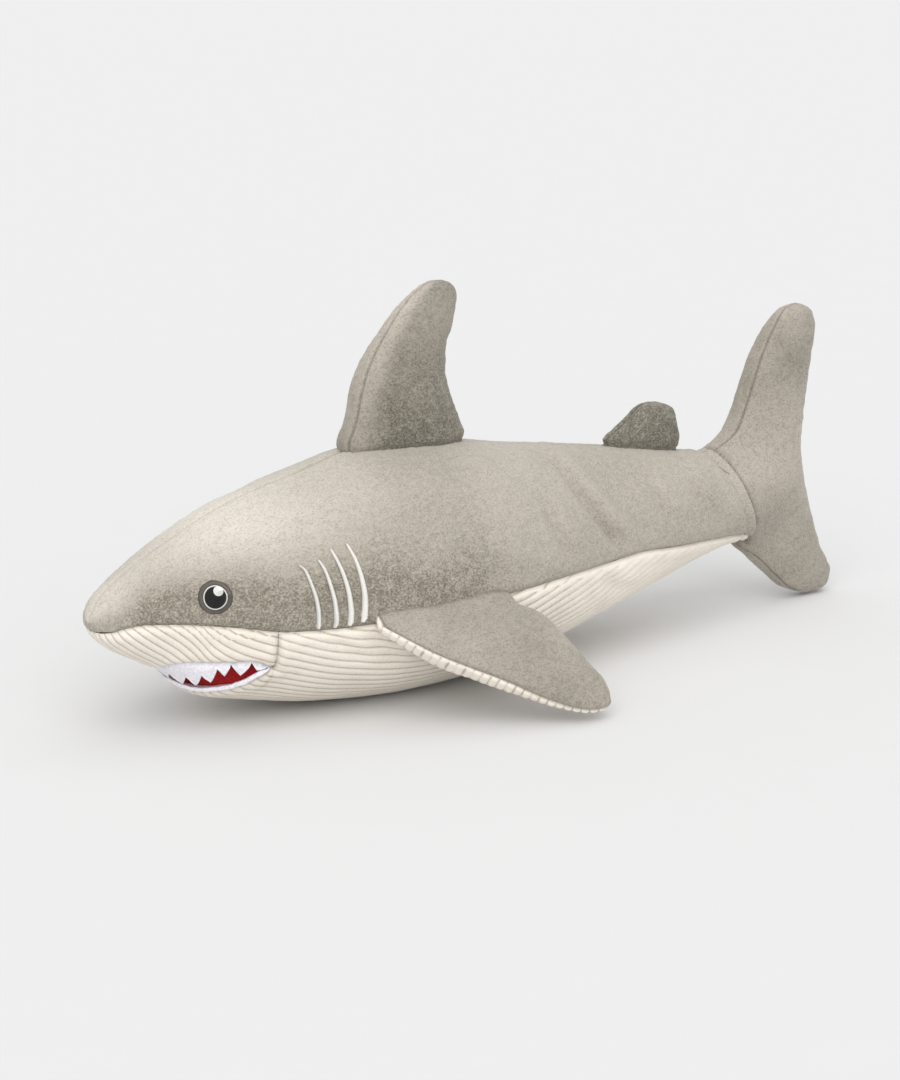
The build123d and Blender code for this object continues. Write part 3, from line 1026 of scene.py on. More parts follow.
    def belly(self) -> bpy.types.Object:
        """Makes the belly panel, from the tail seam to the lower lip."""
        run = np.concatenate([np.linspace(0, 1, 201), np.linspace(1, 2, 17)[1:], np.linspace(2, 3, 61)[1:]])
        body_x = FORM.ring_x + (self.snout_seam - FORM.ring_x) * np.clip(run, 0, 1)
        edge_angle = FORM.seam_angle(body_x)
        corner = self.corner_angle()
        edge_angle = edge_angle + (corner - edge_angle) * np.clip(run - 1, 0, 1)
        reach = np.clip(run - 2, 0, 1)
        lip_x, lip_angle = self.lip(self.lower_lip, np.clip((reach - 0.06) / 0.94, 0, 1))
        into = np.clip(reach / 0.06, 0, 1)
        edge_x = body_x + (lip_x - body_x) * into
        edge_angle = edge_angle + (lip_angle - edge_angle) * into
        front = self.lower_lip[-1][0]
        throat = 84.0
        middle_x = body_x + (throat - self.snout_seam) * np.clip(run - 1, 0, 1) + (front - throat) * reach
        w = np.linspace(0, 1, 161)
        x = edge_x[:, None] + (middle_x - edge_x)[:, None] * w
        angle = edge_angle[:, None] + (-math.pi / 2 - edge_angle)[:, None] * w
        x = FORM.to_ring(x, angle)
        half, normal, across = FORM.at(x, angle), FORM.normal(x, angle), FORM.girth(x, angle)
        points = self.both(half, (1, -1, 1))
        cloth = Cloth("belly_panel", points, self.both(normal, (1, -1, 1)))
        folded = sum(fold.relief(points) for fold in self.belly_folds)
        low = ease(2, 14, points[..., 2])
        cloth.raise_by((folded + 0.5 * lumps(points, 30.0, 9)) * low)
        self.ribs(cloth, self.both(across, 1))
        lips = run >= 2.06
        edges = [points[:, 0], points[:, -1]]
        self.sewn_edge(cloth, [edge[~lips] for edge in edges], self.tuck, 1.5)
        self.sewn_edge(cloth, [edge[lips] for edge in edges], 1.5, 1.5)
        self.collar(cloth)
        cloth.points[..., 2] = np.maximum(cloth.points[..., 2], 0.25)
        piece = cloth.sew(Finish.CORDUROY)
        return settle(piece, Body.TORSO, "belly_panel", "torso_filling")

    def snout(self) -> bpy.types.Object:
        """Makes the snout panel, from the side seam round the nose to the upper lip."""
        u = np.linspace(-1, 1, 321)
        reach = np.abs(u)
        start = FORM.seam_start()
        seam_x = start + (self.snout_seam - start) * reach**1.5
        seam_angle = FORM.seam_angle(seam_x)
        seam_angle[reach < 1e-6] = -math.pi / 2
        lip_x, lip_angle = self.lip(self.upper_lip, np.clip((1 - reach) * 1.05 - 0.05, 0, 1))
        into = np.clip((1 - reach) / 0.05, 0, 1)
        lip_x = self.snout_seam + (lip_x - self.snout_seam) * into
        lip_angle = self.corner_angle() + (lip_angle - self.corner_angle()) * into
        v = np.linspace(0, 1, 97)
        x = seam_x[:, None] + (lip_x - seam_x)[:, None] * v
        angle = seam_angle[:, None] + (lip_angle - seam_angle)[:, None] * v
        points, normal = FORM.at(x, angle), FORM.normal(x, angle)
        points[u > 0] *= (1, -1, 1)
        normal[u > 0] *= (1, -1, 1)
        cloth = Cloth("snout_panel", points, normal)
        cloth.raise_by(0.35 * lumps(points, 16.0, 13) - self.nose_trim * (1 - ease(0, 12, x)))
        self.ribs(cloth, FORM.girth(x, angle))
        self.sewn_edge(cloth, [points[:, 0], points[0], points[-1]], self.tuck, 1.5)
        self.sewn_edge(cloth, [points[8:-8, -1]], 1.6, 1.6)
        piece = cloth.sew(Finish.CORDUROY)
        return settle(piece, Body.TORSO, "snout_panel")

    def build(self) -> None:
        """Makes all the torso's panels."""
        for side in Side:
            self.back(side)
        self.belly()
        self.snout()


def mirrored(cloth: Cloth, name: str) -> Cloth:
    """The same cloth on the other side of the toy."""
    flip = np.array([1.0, -1.0, 1.0])
    return Cloth(name, cloth.points * flip, cloth.normal * flip, dict(cloth.values))


# ---------------------------------------------------------------- mouth


@dataclass
class Mouth:
    """The open mouth: a red lining, felt teeth behind the upper lip and a felt band on the lower one."""

    panels: TorsoPanels
    depth: float = 10.0
    band: float = 5.2
    behind: float = 2.6
    # The teeth's edge from the mouth's corner: share along the upper lip, x and angle in degrees
    zigzag: tuple = (
        (0.00, 94.0, -23.2),
        (0.12, 85.2, -25.5),
        (0.155, 81.5, -19.5),
        (0.23, 76.8, -30.8),
        (0.30, 69.8, -21.0),
        (0.36, 68.0, -32.5),
        (0.43, 62.8, -26.5),
        (0.49, 63.0, -44.5),
        (0.57, 56.8, -41.0),
        (0.64, 58.8, -58.5),
        (0.73, 52.5, -58.8),
        (0.80, 55.8, -73),
        (0.91, 49.5, -80),
        (1.00, 53.5, -90),
    )

    def rows(self, q: Array) -> tuple[Array, Array, Array, Array]:
        """Both lips' places from the left corner, at -1, round to the right one, at 1.

        Args:
            q: Where along the mouth.

        Returns:
            Upper x and angle, then lower x and angle.
        """
        at = 1 - np.abs(q)
        upper = self.panels.lip(self.panels.upper_lip, at)
        lower = self.panels.lip(self.panels.lower_lip, at)
        return (*upper, *lower)

    def strip(self, name: str, q: Array, down: Array, sink: Array) -> Cloth:
        """Lays a strip between the lips.

        Args:
            name: The piece's name.
            q: Where along the mouth each column is.
            down: For each point, how far down from the upper lip to the lower one it is.
            sink: For each point, how deep it lies under the torso's form.

        Returns:
            The strip.
        """
        ux, ua, lx, la = self.rows(q)
        x = ux[:, None] + (lx - ux)[:, None] * down
        angle = ua[:, None] + (la - ua)[:, None] * down
        points, normal = FORM.at(x, angle), FORM.normal(x, angle)
        points[q > 0] *= (1, -1, 1)
        normal[q > 0] *= (1, -1, 1)
        cloth = Cloth(name, points, normal)
        cloth.raise_by(-sink)
        cloth.darken(np.zeros(down.shape))
        return cloth

    def gap_height(self, q: Array) -> Array:
        """How far apart the lips are at each place, in millimetres."""
        ux, ua, lx, la = self.rows(q)
        return np.maximum(np.linalg.norm(FORM.at(ux, ua) - FORM.at(lx, la), axis=-1), 0.5)

    def teeth(self, q: Array) -> Cloth:
        """Lays the felt strip from behind the upper lip to its zigzag edge."""
        table = np.array(self.zigzag)
        at, t = 1 - np.abs(q), np.linspace(0, 1, 21)
        upper_x, upper_angle, _, _ = self.rows(q)
        edge_x = np.interp(at, table[:, 0], table[:, 1])
        edge_angle = np.radians(np.interp(at, table[:, 0], table[:, 2]))
        drop = np.linalg.norm(FORM.at(upper_x, upper_angle) - FORM.at(edge_x, edge_angle), axis=-1)
        down = -2.0 / np.maximum(drop, 2.0)[:, None] * (1 - t) + t
        x = upper_x[:, None] + (edge_x - upper_x)[:, None] * down
        angle = upper_angle[:, None] + (edge_angle - upper_angle)[:, None] * down
        cloth = Cloth("upper_teeth", FORM.at(x, angle), FORM.normal(x, angle))
        cloth.points[q > 0] *= (1, -1, 1)
        cloth.normal[q > 0] *= (1, -1, 1)
        mm_down = np.maximum(down, 0) * drop[:, None]
        cloth.raise_by(2.0 * ease(0.5, 4.5, mm_down) - self.behind)
        edge = distance_to(cloth.points, [cloth.points[:, -1]])
        cloth.raise_by(0.5 * bell(edge - 0.9, 0.7) + 0.25 * lumps(cloth.points, 2.2, 33))
        # Painted shade in the groove inside the teeth's edge and where the felt goes behind the upper lip.
        cloth.darken(0.4 * bell(edge - 2.3, 0.6))
        cloth.darken(0.4 * bell(mm_down, 1.0))
        return cloth

    def build(self) -> None:
        """Makes the lining, the teeth and the band."""
        q = np.linspace(-1, 1, 161)
        down = np.tile(np.linspace(-0.10, 1.10, 33), (len(q), 1))
        open_here = ease(0, 0.3, 1 - np.abs(q))[:, None]
        hollow = np.sin(np.pi * np.clip(down, 0, 1)) ** 0.6
        lining = self.strip("mouth_lining", q, down, self.behind + 1.4 + self.depth * hollow * open_here)
        lining.raise_by(0.25 * lumps(lining.points, 6.0, 31))
        settle(lining.sew(Finish.LINING_RED), Body.TORSO, "mouth_lining")

        q = np.linspace(-1, 1, 577)
        height = self.gap_height(q)
        settle(self.teeth(q).sew(Finish.FELT_WHITE, 1.2), Body.TORSO, "upper_teeth")

        t = np.linspace(0, 1, 13)
        wide = np.minimum(self.band, 0.42 * height) / height
        outer = 1 + 2.0 / np.maximum(height, 4.0)
        down = outer[:, None] - (outer - 1 + wide)[:, None] * t
        mm_up = np.maximum(1 - down, 0) * height[:, None]
        fold = 3.2 * ease(-0.4, 2.2, (1 - down) * height[:, None])
        sink = self.behind - fold + 0.9 * ease(0.75, 1.0, t)[None, :]
        band = self.strip("lower_lip_band", q, down, sink)
        band.raise_by(0.3 * lumps(band.points, 2.6, 35))
        # Painted shade where the band goes under the lower lip.
        band.darken(0.4 * bell(mm_up, 0.8))
        settle(band.sew(Finish.FELT_WHITE, 1.2), Body.TORSO, "lower_lip_band")


# ---------------------------------------------------------------- embroidery


@dataclass
class Eye:
    """An embroidered eye: a domed pupil in a thin ring, a wider surround and a glint."""

    x: float = 62.6
    z: float = 86.9
    pupil: float = 6.5
    ring: float = 7.2
    surround: float = 10.2
    glint: float = 2.9
    glint_at: tuple[float, float] = (2.4, 3.4)

    def patch(
        self,
        name: str,
        middle: tuple[float, float],
        inner: float,
        outer: float,
        lift: Callable[[Array], Array],
    ) -> Cloth:
        """A round or ring-shaped patch of stitches on the torso's side.

        Args:
            name: The piece's name.
            middle: Its middle, back from and above the eye's middle.
            inner: The ring's inner radius, or 0.
            outer: Its outer radius.
            lift: Its height above the cloth, for a share from its inner to its outer edge.

        Returns:
            The patch on the left side.
        """
        turns, rings = (97, 9) if inner else (97, 15)
        a, t = np.meshgrid(np.linspace(0, 2 * math.pi, turns), np.linspace(0, 1, rings), indexing="ij")
        radius = inner + (outer - inner) * t
        here = float(FORM.angle(np.array(self.x), np.array(self.z)))
        base = FORM.at(np.array(self.x), np.array(here))
        back = FORM.at(np.array(self.x + 1.0), np.array(here)) - base
        up = FORM.at(np.array(self.x), np.array(here + 0.02)) - base
        back /= np.linalg.norm(back)
        up -= back * (up @ back)
        up /= np.linalg.norm(up)
        flat = base + (middle[0] + radius * np.cos(a))[..., None] * back
        flat = flat + (middle[1] + radius * np.sin(a))[..., None] * up
        x = flat[..., 0] - FORM.shift
        out = np.cross(back, up)
        out *= math.copysign(1.0, -out[1])
        points = FORM.at(x, FORM.angle(x, flat[..., 2]))
        cloth = Cloth(name, points, np.broadcast_to(out, points.shape).copy())
        cloth.raise_by(lift(t))
        cloth.darken(np.zeros_like(t))
        return cloth

    @staticmethod
    def dome(low: float, high: float) -> Callable[[Array], Array]:
        """The height of a round patch, from its domed middle down to its edge."""

        def lift(t: Array) -> Array:
            """The height at a share from the middle to the edge."""
            return low + high * np.sqrt(np.maximum(0, 1 - 0.97 * t**2))

        return lift

    @staticmethod
    def ring_lift(t: Array) -> Array:
        """The height of the white ring, from its inner to its outer edge."""
        return 0.4 + 0.75 * np.sin(np.pi * (0.12 + 0.76 * t))

    @staticmethod
    def rim_lift(t: Array) -> Array:
        """The height of the brown surround, from its inner to its outer edge."""
        return 0.1 + 0.95 * np.sin(np.pi * (0.06 + 0.9 * t)) ** 0.6

    def build(self) -> None:
        """Makes both eyes."""
        dome = self.patch("pupil", (0, 0), 0.0, self.pupil, self.dome(0.5, 1.0))
        ring = self.patch("ring", (0, 0), self.pupil - 0.1, self.ring, self.ring_lift)
        rim = self.patch("surround", (0, 0), self.ring - 0.1, self.surround, self.rim_lift)
        across = np.linspace(0, 1, 9)[None, :] * np.ones((97, 1))
        rim.darken(np.maximum(0.9 * bell(across - 1, 0.22), 0.7 * bell(across, 0.2)))
        spot = self.patch("glint", self.glint_at, 0.0, self.glint, self.dome(1.4, 0.4))
        finishes = (Finish.THREAD_BLACK, Finish.THREAD_WHITE, Finish.THREAD_BROWN, Finish.THREAD_WHITE)
        for cloth, finish in zip((dome, ring, rim, spot), finishes):
            for side in Side:
                name = f"eye_{cloth.name}_{side.word}"
                own = Cloth(name, cloth.points, cloth.normal, cloth.values)
                own = own if side is Side.LEFT else mirrored(own, name)
                settle(own.sew(finish), Body.TORSO, name)


@dataclass
class Gills:
    """Four satin-stitched arcs on each side, thin at the top and wider at the foot."""

    arcs: tuple = (
        ((113.0, 101), (115.5, 98), (117.6, 89), (118.8, 82), (119.3, 74), (118.7, 64)),
        ((124.7, 103), (127.0, 97), (128.7, 87), (129.7, 78), (129.8, 70), (128.8, 64)),
        ((133.6, 108), (136.3, 99), (138.0, 90), (138.9, 81), (139.0, 73), (138.0, 64)),
        ((143.9, 110), (146.8, 100.5), (148.0, 92), (148.5, 83), (148.1, 76), (146.5, 65)),
    )
    top_width: float = 1.3
    foot_widths: tuple = (3.0, 3.6, 4.2, 4.8)
    height: float = 1.1

    def arc(self, line: tuple, width: float) -> Cloth:
        """One arc of stitches on the left side.

        Args:
            line: Its places in side view, from the top.
            width: Its width at the foot.

        Returns:
            The strip of stitches.
        """
        table = np.array(line)
        t = np.linspace(0, 1, 181)
        knots = np.linspace(0, 1, len(table))
        x, z = smooth_curve(knots, table[:, 0], t), smooth_curve(knots, table[:, 1], t)
        s = np.linspace(-1, 1, 9)
        wide = (self.top_width + (width - self.top_width) * t) / 2
        wide = wide * (1 + 0.10 * np.cos(t * 180 * 1.4))
        wide = wide * np.sqrt(np.clip(np.minimum(t, 1 - t) * 30, 0.02, 1))
        px = x[:, None] + wide[:, None] * s
        pz = z[:, None] + 0.35 * wide[:, None] * s
        angle = FORM.angle(px, pz)
        cloth = Cloth("gill", FORM.at(px, angle), FORM.normal(px, angle))
        stitch = 1 + 0.16 * np.cos(t * 180 * 1.4)[:, None]
        dome = self.height * np.sqrt(np.clip(1 - s**2, 0, 1))[None, :] * stitch
        cloth.raise_by(dome * np.minimum(1, wide * 1.4)[:, None] + 0.25)
        # Painted shade along both edges of the arc.
        cloth.darken(0.9 * np.abs(s)[None, :] ** 4 * np.ones_like(px))
        return cloth

    def build(self) -> None:
        """Makes the gills on both sides."""
        for number, (line, width) in enumerate(zip(self.arcs, self.foot_widths), 1):
            arc = self.arc(line, width)
            for side in Side:
                name = f"gill_stitch_{side.word}_{number}"
                own = Cloth(name, arc.points, arc.normal, arc.values)
                own = own if side is Side.LEFT else mirrored(own, name)
                settle(own.sew(Finish.THREAD_WHITE), Body.TORSO, name)


# ---------------------------------------------------------------- fins


@dataclass(frozen=True)
class Hinge:
    """A joint's place and axes in the row's frame, in millimetres."""

    point: Array
    along: Array
    out: Array
    across: Array

    @staticmethod
    def of(name: str, droop: Optional[float] = None) -> "Hinge":
        """Reads a joint from the record.

        Args:
            name: The joint's name.
            droop: For a left side fin, how far it hangs below level, in degrees.

        Returns:
            The hinge: along the root towards the tail, out of the torso, and across the fin.
        """
        joint = next(j for j in frame["joints"] if j["name"] == name)
        along = np.array(joint["axis"], float)
        along = along / np.linalg.norm(along) * (1 if along[0] > 0 else -1)
        if droop is None:
            out = np.array([-along[2], 0.0, along[0]])
        else:
            level = np.array([along[1], -along[0], 0.0])
            level = level / np.linalg.norm(level)
            out = level * math.cos(math.radians(droop)) - np.array([0, 0, math.sin(math.radians(droop))])
        return Hinge(np.array(joint["pos_m"]) / MM, along, out, np.cross(out, along))


@dataclass(frozen=True)
class Section:
    """A fin's section: blunt in front, finer behind, with its front seam set round to one side."""

    blunt: float = 0.55
    fine: float = 0.85
    turn: float = 17.0
    columns: int = 81

    def panel(self, side: int, seam_side: int, turned: Array) -> tuple[Array, Array]:
        """Where one panel's columns lie in the section.

        Args:
            side: 1 or -1, for the panel on that side.
            seam_side: 1 or -1, for the side that the front seam is set round to.
            turned: For each row, how much of the turn the seam keeps.

        Returns:
            The share of the chord from the front, and the share of the half thickness.
        """
        grade = 1.8
        start = seam_side * (self.turn / 180 * turned) ** (1 / grade)
        q = start[:, None] + (side - start)[:, None] * np.linspace(0, 1, self.columns)
        a = np.sign(q) * np.abs(q) ** grade * math.pi
        share = 0.5 - 0.5 * np.cos(a)
        power = self.blunt + (self.fine - self.blunt) * share
        return share, np.sign(a) * np.abs(np.sin(a)) ** power


@dataclass
class StuffedFin:
    """A fin of two panels round a filling, sewn along its outline.

    Rows are shares: height above the hinge line, front and back edges along the chord, and thickness.
    """

    name: str
    joint: str
    body: Body
    chord: float
    height: float
    thickness: float
    lift: float
    rows: tuple
    panels: tuple
    droop: Optional[float] = None
    bend_above: float = 18.0
    flare: float = 0.10
    seam_side: int = -1
    # How pale the pile's painted light and shade is at the root, at the tip and along the front edge
    nap_root: float = 0.05
    nap_tip: float = 0.55
    nap_front: float = 0.0
    section: Section = Section()

    def outline(self, rows: int) -> tuple[Array, Array, Array, Array]:
        """The height, front, back and half thickness, from below the root to the tip."""
        table = np.array(self.rows)
        below = -(self.lift + 7.0) / self.height
        left = np.linspace(math.sqrt(1 - below), 0, rows)
        share = 1 - left**2
        knots = -np.sqrt(1 - table[:, 0])
        knots[0] = -math.sqrt(1 - table[0, 0])
        front, back = (smooth_curve(knots, table[:, k], -left) for k in (1, 2))
        half = smooth_curve(knots, table[:, 3], -left) * self.thickness / 2
        wide = 1 + self.flare * (1 - ease(below, 0.16, share))
        return share * self.height, front * self.chord, back * self.chord, half * wide

    def layout(self, hinge: Hinge, side: int) -> Cloth:
        """Lays out one panel.

        Args:
            hinge: The fin's hinge.
            side: 1 for the panel on the hinge's across side, or -1.

        Returns:
            The panel, not yet puckered.
        """
        height, front, back, half = self.outline(151)
        share, over = self.section.panel(side, self.seam_side, 1 - ease(0.55, 0.95, height / self.height))
        x = front[:, None] + (back - front)[:, None] * share - self.chord / 2
        y = half[:, None] * over
        points = hinge.point + x[..., None] * hinge.along + height[:, None, None] * hinge.out
        points = points + y[..., None] * hinge.across
        outward = over[..., None] * hinge.across + 0.5 * (2 * share - 1)[..., None] * hinge.along
        cloth = Cloth(self.name, points, facing(points, outward))
        rise = np.broadcast_to((height / self.height)[:, None], share.shape)
        # Painted light and shade of the pile, from root to tip, paler along the front edge, with random
        # patches.
        cloth.values["nap"] = np.clip(
            self.nap_root + (self.nap_tip - self.nap_root) * ease(0.0, 0.9, rise)
            + self.nap_front * (1 - ease(0.06, 0.32, share)) + 0.12 * lumps(points, 22.0, 73), 0, 1
        )
        cloth.values["rise"] = rise
        cloth.values["edge_run"] = 0.6 * height[:, None] + 0.8 * x
        tip = ease(0.965, 1.0, rise)[..., None]
        cloth.normal = cloth.normal * (1 - tip) + hinge.out * tip
        return cloth

    def dress(self, cloth: Cloth, ribbed: bool) -> None:
        """Puckers a panel at its seams, gives it ribs where it has them, and creases it at the root."""
        gap = distance_to(cloth.points, [cloth.points[:, 0], cloth.points[:, -1], cloth.points[-1]])
        rise, edge_run = cloth.values.pop("rise"), cloth.values.pop("edge_run")
        pucker = 0.5 * lumps(cloth.points, 6.0, 41) * bell(gap - 3, 6.0)
        pucker = pucker * ease(0, 2, gap) * (1 - ease(0.9, 1.0, rise))
        broad = 0.8 * lumps(cloth.points, 24.0, 43) * ease(0, 12, gap)
        pile = 0.28 * lumps(cloth.points, 2.6, 47) * ease(0, 1.5, gap)
        root = FORM.height_above(cloth.points)
        if ribbed:
            rib = rib_profile(edge_run)
            cloth.values["rib"] = rib
            cloth.raise_by(1.0 * (rib - 0.6) * ease(0, 1.2, gap))
            pile = pile * 0
        tuck = -1.4 * bell(gap, 1.2) - 0.9 * bell(root - 1.5, 1.6) + 0.5 * bell(root - 7, 4)
        cloth.raise_by(pucker + broad + pile + tuck)
        # Painted shade along the panel's seams and in the crease at the root.
        cloth.darken(np.maximum(0.45 * bell(gap, 0.7), 0.5 * bell(root - 1.2, 1.0)))

    def build(self) -> None:
        """Makes both panels."""
        hinge = Hinge.of(self.joint, self.droop)
        start = hinge.point - hinge.out * self.lift
        end = hinge.point + hinge.out * self.bend_above
        for (node, finish), side in zip(self.panels, (-1, 1)):
            cloth = self.layout(hinge, side)
            self.dress(cloth, finish is Finish.CORDUROY)
            self.finish_panel(cloth, node, finish, start, end)

    def finish_panel(self, cloth: Cloth, node: str, finish: Finish, start: Array, end: Array) -> None:
        """Sews one panel.

        Args:
            cloth: The panel.
            node: The CAD node that it stands for.
            finish: What it is made of.
            start: Not used.
            end: Not used.
        """
        cloth.name = node
        cloth.points[..., 2] = np.maximum(cloth.points[..., 2], 0.5)
        piece = cloth.sew(finish)
        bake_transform(piece)
        filling = f"{self.name}_filling"
        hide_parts(*((node, filling) if node == self.panels[0][0] else (node,)))
        report(piece)


@dataclass
class SideFin(StuffedFin):
    """A side fin. The right one is the left one mirrored."""

    side: Side = Side.LEFT

    def build(self) -> None:
        """Makes the upper and lower panels on this fin's side."""
        hinge = Hinge.of("pectoral_left_flap", self.droop)
        start = hinge.point - hinge.out * self.lift * 0.6
        end = hinge.point + hinge.out * self.bend_above
        flip = np.array([1.0, 1.0, 1.0]) if self.side is Side.LEFT else np.array([1.0, -1.0, 1.0])
        for (node, finish), facing_side in zip(self.panels, (-1, 1)):
            cloth = self.layout(hinge, facing_side)
            self.dress(cloth, finish is Finish.CORDUROY)
            if self.side is Side.RIGHT:
                cloth = mirrored(cloth, node)
            self.finish_panel(cloth, node, finish, start * flip, end * flip)


@dataclass
class Tail:
    """The tail fin: two panels that open from the torso's end into an upper and a lower lobe."""

    # Places up the fin: share, front edge x and z, back edge x and z, half thickness
    rows: tuple = (
        (0.00, 560, 0.8, 560, 0.8, 0.0),
        (0.06, 545, 2.6, 569, 5.5, 5.5),
        (0.13, 531, 8, 571, 15, 8.5),
        (0.22, 514, 22, 562, 31, 10.5),
        (0.30, 499, 35, 556, 46, 12.0),
        (0.36, 484, 49, 551, 60, 13.5),
        (0.42, 483, 63, 547, 74, 15.0),
        (0.47, 478, 79, 544, 88, 16.0),
        (0.52, 472.5, 94, 541.5, 100, 15.5),
        (0.57, 461, 107.5, 541, 113, 14.5),
        (0.60, 468.5, 114, 541, 120, 13.8),
        (0.63, 478, 122, 541.5, 127, 13.0),
        (0.71, 489, 144, 544, 146, 12.0),
        (0.80, 500, 171, 548, 168, 11.0),
        (0.88, 511, 188, 551, 184, 9.0),
        (0.95, 524, 200, 547, 196, 6.0),
        (1.00, 537, 203.0, 537, 203.0, 0.0),
    )
    ring_half: float = 28.6
    ring_reach: float = 31.5
    into_torso: float = 6.0
    bend_back: float = 26.0
    section: Section = Section(blunt=0.52, fine=0.85, turn=19.0, columns=97)

    def layout(self, side: Side) -> Cloth:
        """Lays out one panel of the tail."""
        table = np.array(self.rows)
        turn = np.linspace(0, 1, 241)
        knots = np.arccos(1 - 2 * table[:, 0]) / math.pi
        fx, fz, bx, bz, lobe = (smooth_curve(knots, table[:, k], turn) for k in range(1, 6))
        share = 0.5 - 0.5 * np.cos(math.pi * turn)
        on_ring = np.clip(1 - ((fz - FORM.ring_z) / self.ring_reach) ** 2, 0, 1) * (fx < 490)
        fx = fx - self.into_torso * ease(0, 0.3, on_ring)
        kept = (1 - ease(0.86, 0.98, share)) * ease(0.02, 0.12, share)
        kept = kept * ease(0, 15, np.abs(fz - FORM.ring_z) - self.ring_reach)
        across, over = self.section.panel(side.value, -1, kept)
        x, z = fx[:, None] + (bx - fx)[:, None] * across, fz[:, None] + (bz - fz)[:, None] * across
        ring = self.ring_half * np.sqrt(on_ring)[:, None]
        blade = lobe[:, None] * over * (1 - 0.3 * on_ring[:, None])
        full = ring * (1 - across) ** 0.8 * (1 - 0.25 * across)
        y = np.where(on_ring[:, None] > 0, side.value * np.hypot(full, blade), blade)
        points = np.stack([x + FORM.shift, y, z], axis=-1)
        up = (share[:, None] - 0.47) * 0.5 + 0 * y
        outward = np.stack([(across - 0.5) * 0.5, np.sign(y), up], axis=-1)
        cloth = Cloth(f"tail_{side.word}_panel", points, facing(points, outward))
        cloth.values["ring"] = on_ring[:, None] + 0 * y
        for tip, way in ((1 - ease(0.0, 0.02, share), -0.87), (ease(0.98, 1.0, share), 0.87)):
            tip = tip[:, None, None]
            cloth.normal = cloth.normal * (1 - tip) + np.array([0.5, 0.0, way]) * tip
        return cloth

    def build(self) -> None:
        """Makes both panels."""
        for side in Side:
            cloth = self.layout(side)
            ring = cloth.values.pop("ring")[:, 0]
            seams = [cloth.points[ring <= 0.02, 0], cloth.points[:, -1], cloth.points[0], cloth.points[-1]]
            gap = distance_to(cloth.points, seams)
            pucker = 0.55 * lumps(cloth.points, 6.5, 51) * bell(gap - 3, 6.0) * ease(0, 2, gap)
            broad = 0.9 * lumps(cloth.points, 26.0, 53) * ease(0, 14, gap)
            pile = 0.28 * lumps(cloth.points, 2.6, 57) * ease(0, 1.5, gap)
            ahead = -FORM.ring_gap(cloth.points)
            level = np.abs(cloth.points[..., 2] - FORM.ring_z)
            inside = 1 - ease(self.ring_reach, self.ring_reach + 5, level)
            collar = -1.6 * bell(ahead, 2.2) + 0.9 * bell(ahead - 6, 4.0)
            collar = inside * (collar - 1.5 * (1 - ease(-6, -1, ahead)))
            creases = 0.7 * lumps(cloth.points * (0.35, 1, 1), 7.0, 55) * inside * bell(ahead - 4, 14.0)
            cloth.raise_by(pucker + broad + pile + collar + creases - 1.4 * bell(gap, 1.2))
            # Painted shade along the seams and in the tail seam's groove.
            cloth.darken(np.maximum(0.45 * bell(gap, 0.7), 0.6 * inside * bell(ahead, 1.4)))
            # Painted light and shade of the pile by height up the fin, with random patches.
            rise = cloth.points[..., 2]
            pale = 0.58 + 0.16 * ease(60, 110, rise)
            pale = pale - 0.34 * bell(rise - 165, 30) - 0.10 * bell(rise - 45, 26)
            cloth.values["nap"] = np.clip(pale + 0.15 * lumps(cloth.points, 24.0, 75), 0, 1)
            cloth.points[..., 2] = np.maximum(cloth.points[..., 2], 0.4)
            piece = cloth.sew(Finish.VELOUR_DARK)
            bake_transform(piece)
            extra = ("tail_filling",) if side is Side.LEFT else ()
            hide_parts(cloth.name, *extra)
            report(piece)


DORSAL_ROWS = (
    (0.00, -0.06, 0.98, 0.88),
    (0.15, -0.005, 0.90, 1.00),
    (0.27, 0.02, 0.84, 0.97),
    (0.42, 0.07, 0.79, 0.86),
    (0.57, 0.15, 0.79, 0.76),
    (0.69, 0.25, 0.83, 0.66),
    (0.80, 0.35, 0.86, 0.56),
    (0.88, 0.44, 0.87, 0.47),
    (0.96, 0.56, 0.84, 0.33),
    (1.00, 0.71, 0.71, 0.00),
)
REAR_DORSAL_ROWS = (
    (0.00, 0.00, 1.00, 0.90),
    (0.20, 0.09, 0.985, 1.00),
    (0.45, 0.20, 0.95, 0.92),
    (0.70, 0.30, 0.90, 0.80),
    (0.90, 0.40, 0.83, 0.60),
    (1.00, 0.63, 0.63, 0.00),
)
PECTORAL_ROWS = (
    (0.00, -0.04, 1.12, 0.48),
    (0.10, 0.04, 1.27, 0.70),
    (0.22, 0.14, 1.33, 0.90),
    (0.37, 0.30, 1.38, 0.95),
    (0.52, 0.51, 1.43, 0.88),
    (0.67, 0.73, 1.48, 0.78),
    (0.80, 0.91, 1.51, 0.68),
    (0.91, 1.09, 1.50, 0.54),
    (0.98, 1.25, 1.46, 0.36),
    (1.00, 1.37, 1.37, 0.00),
)


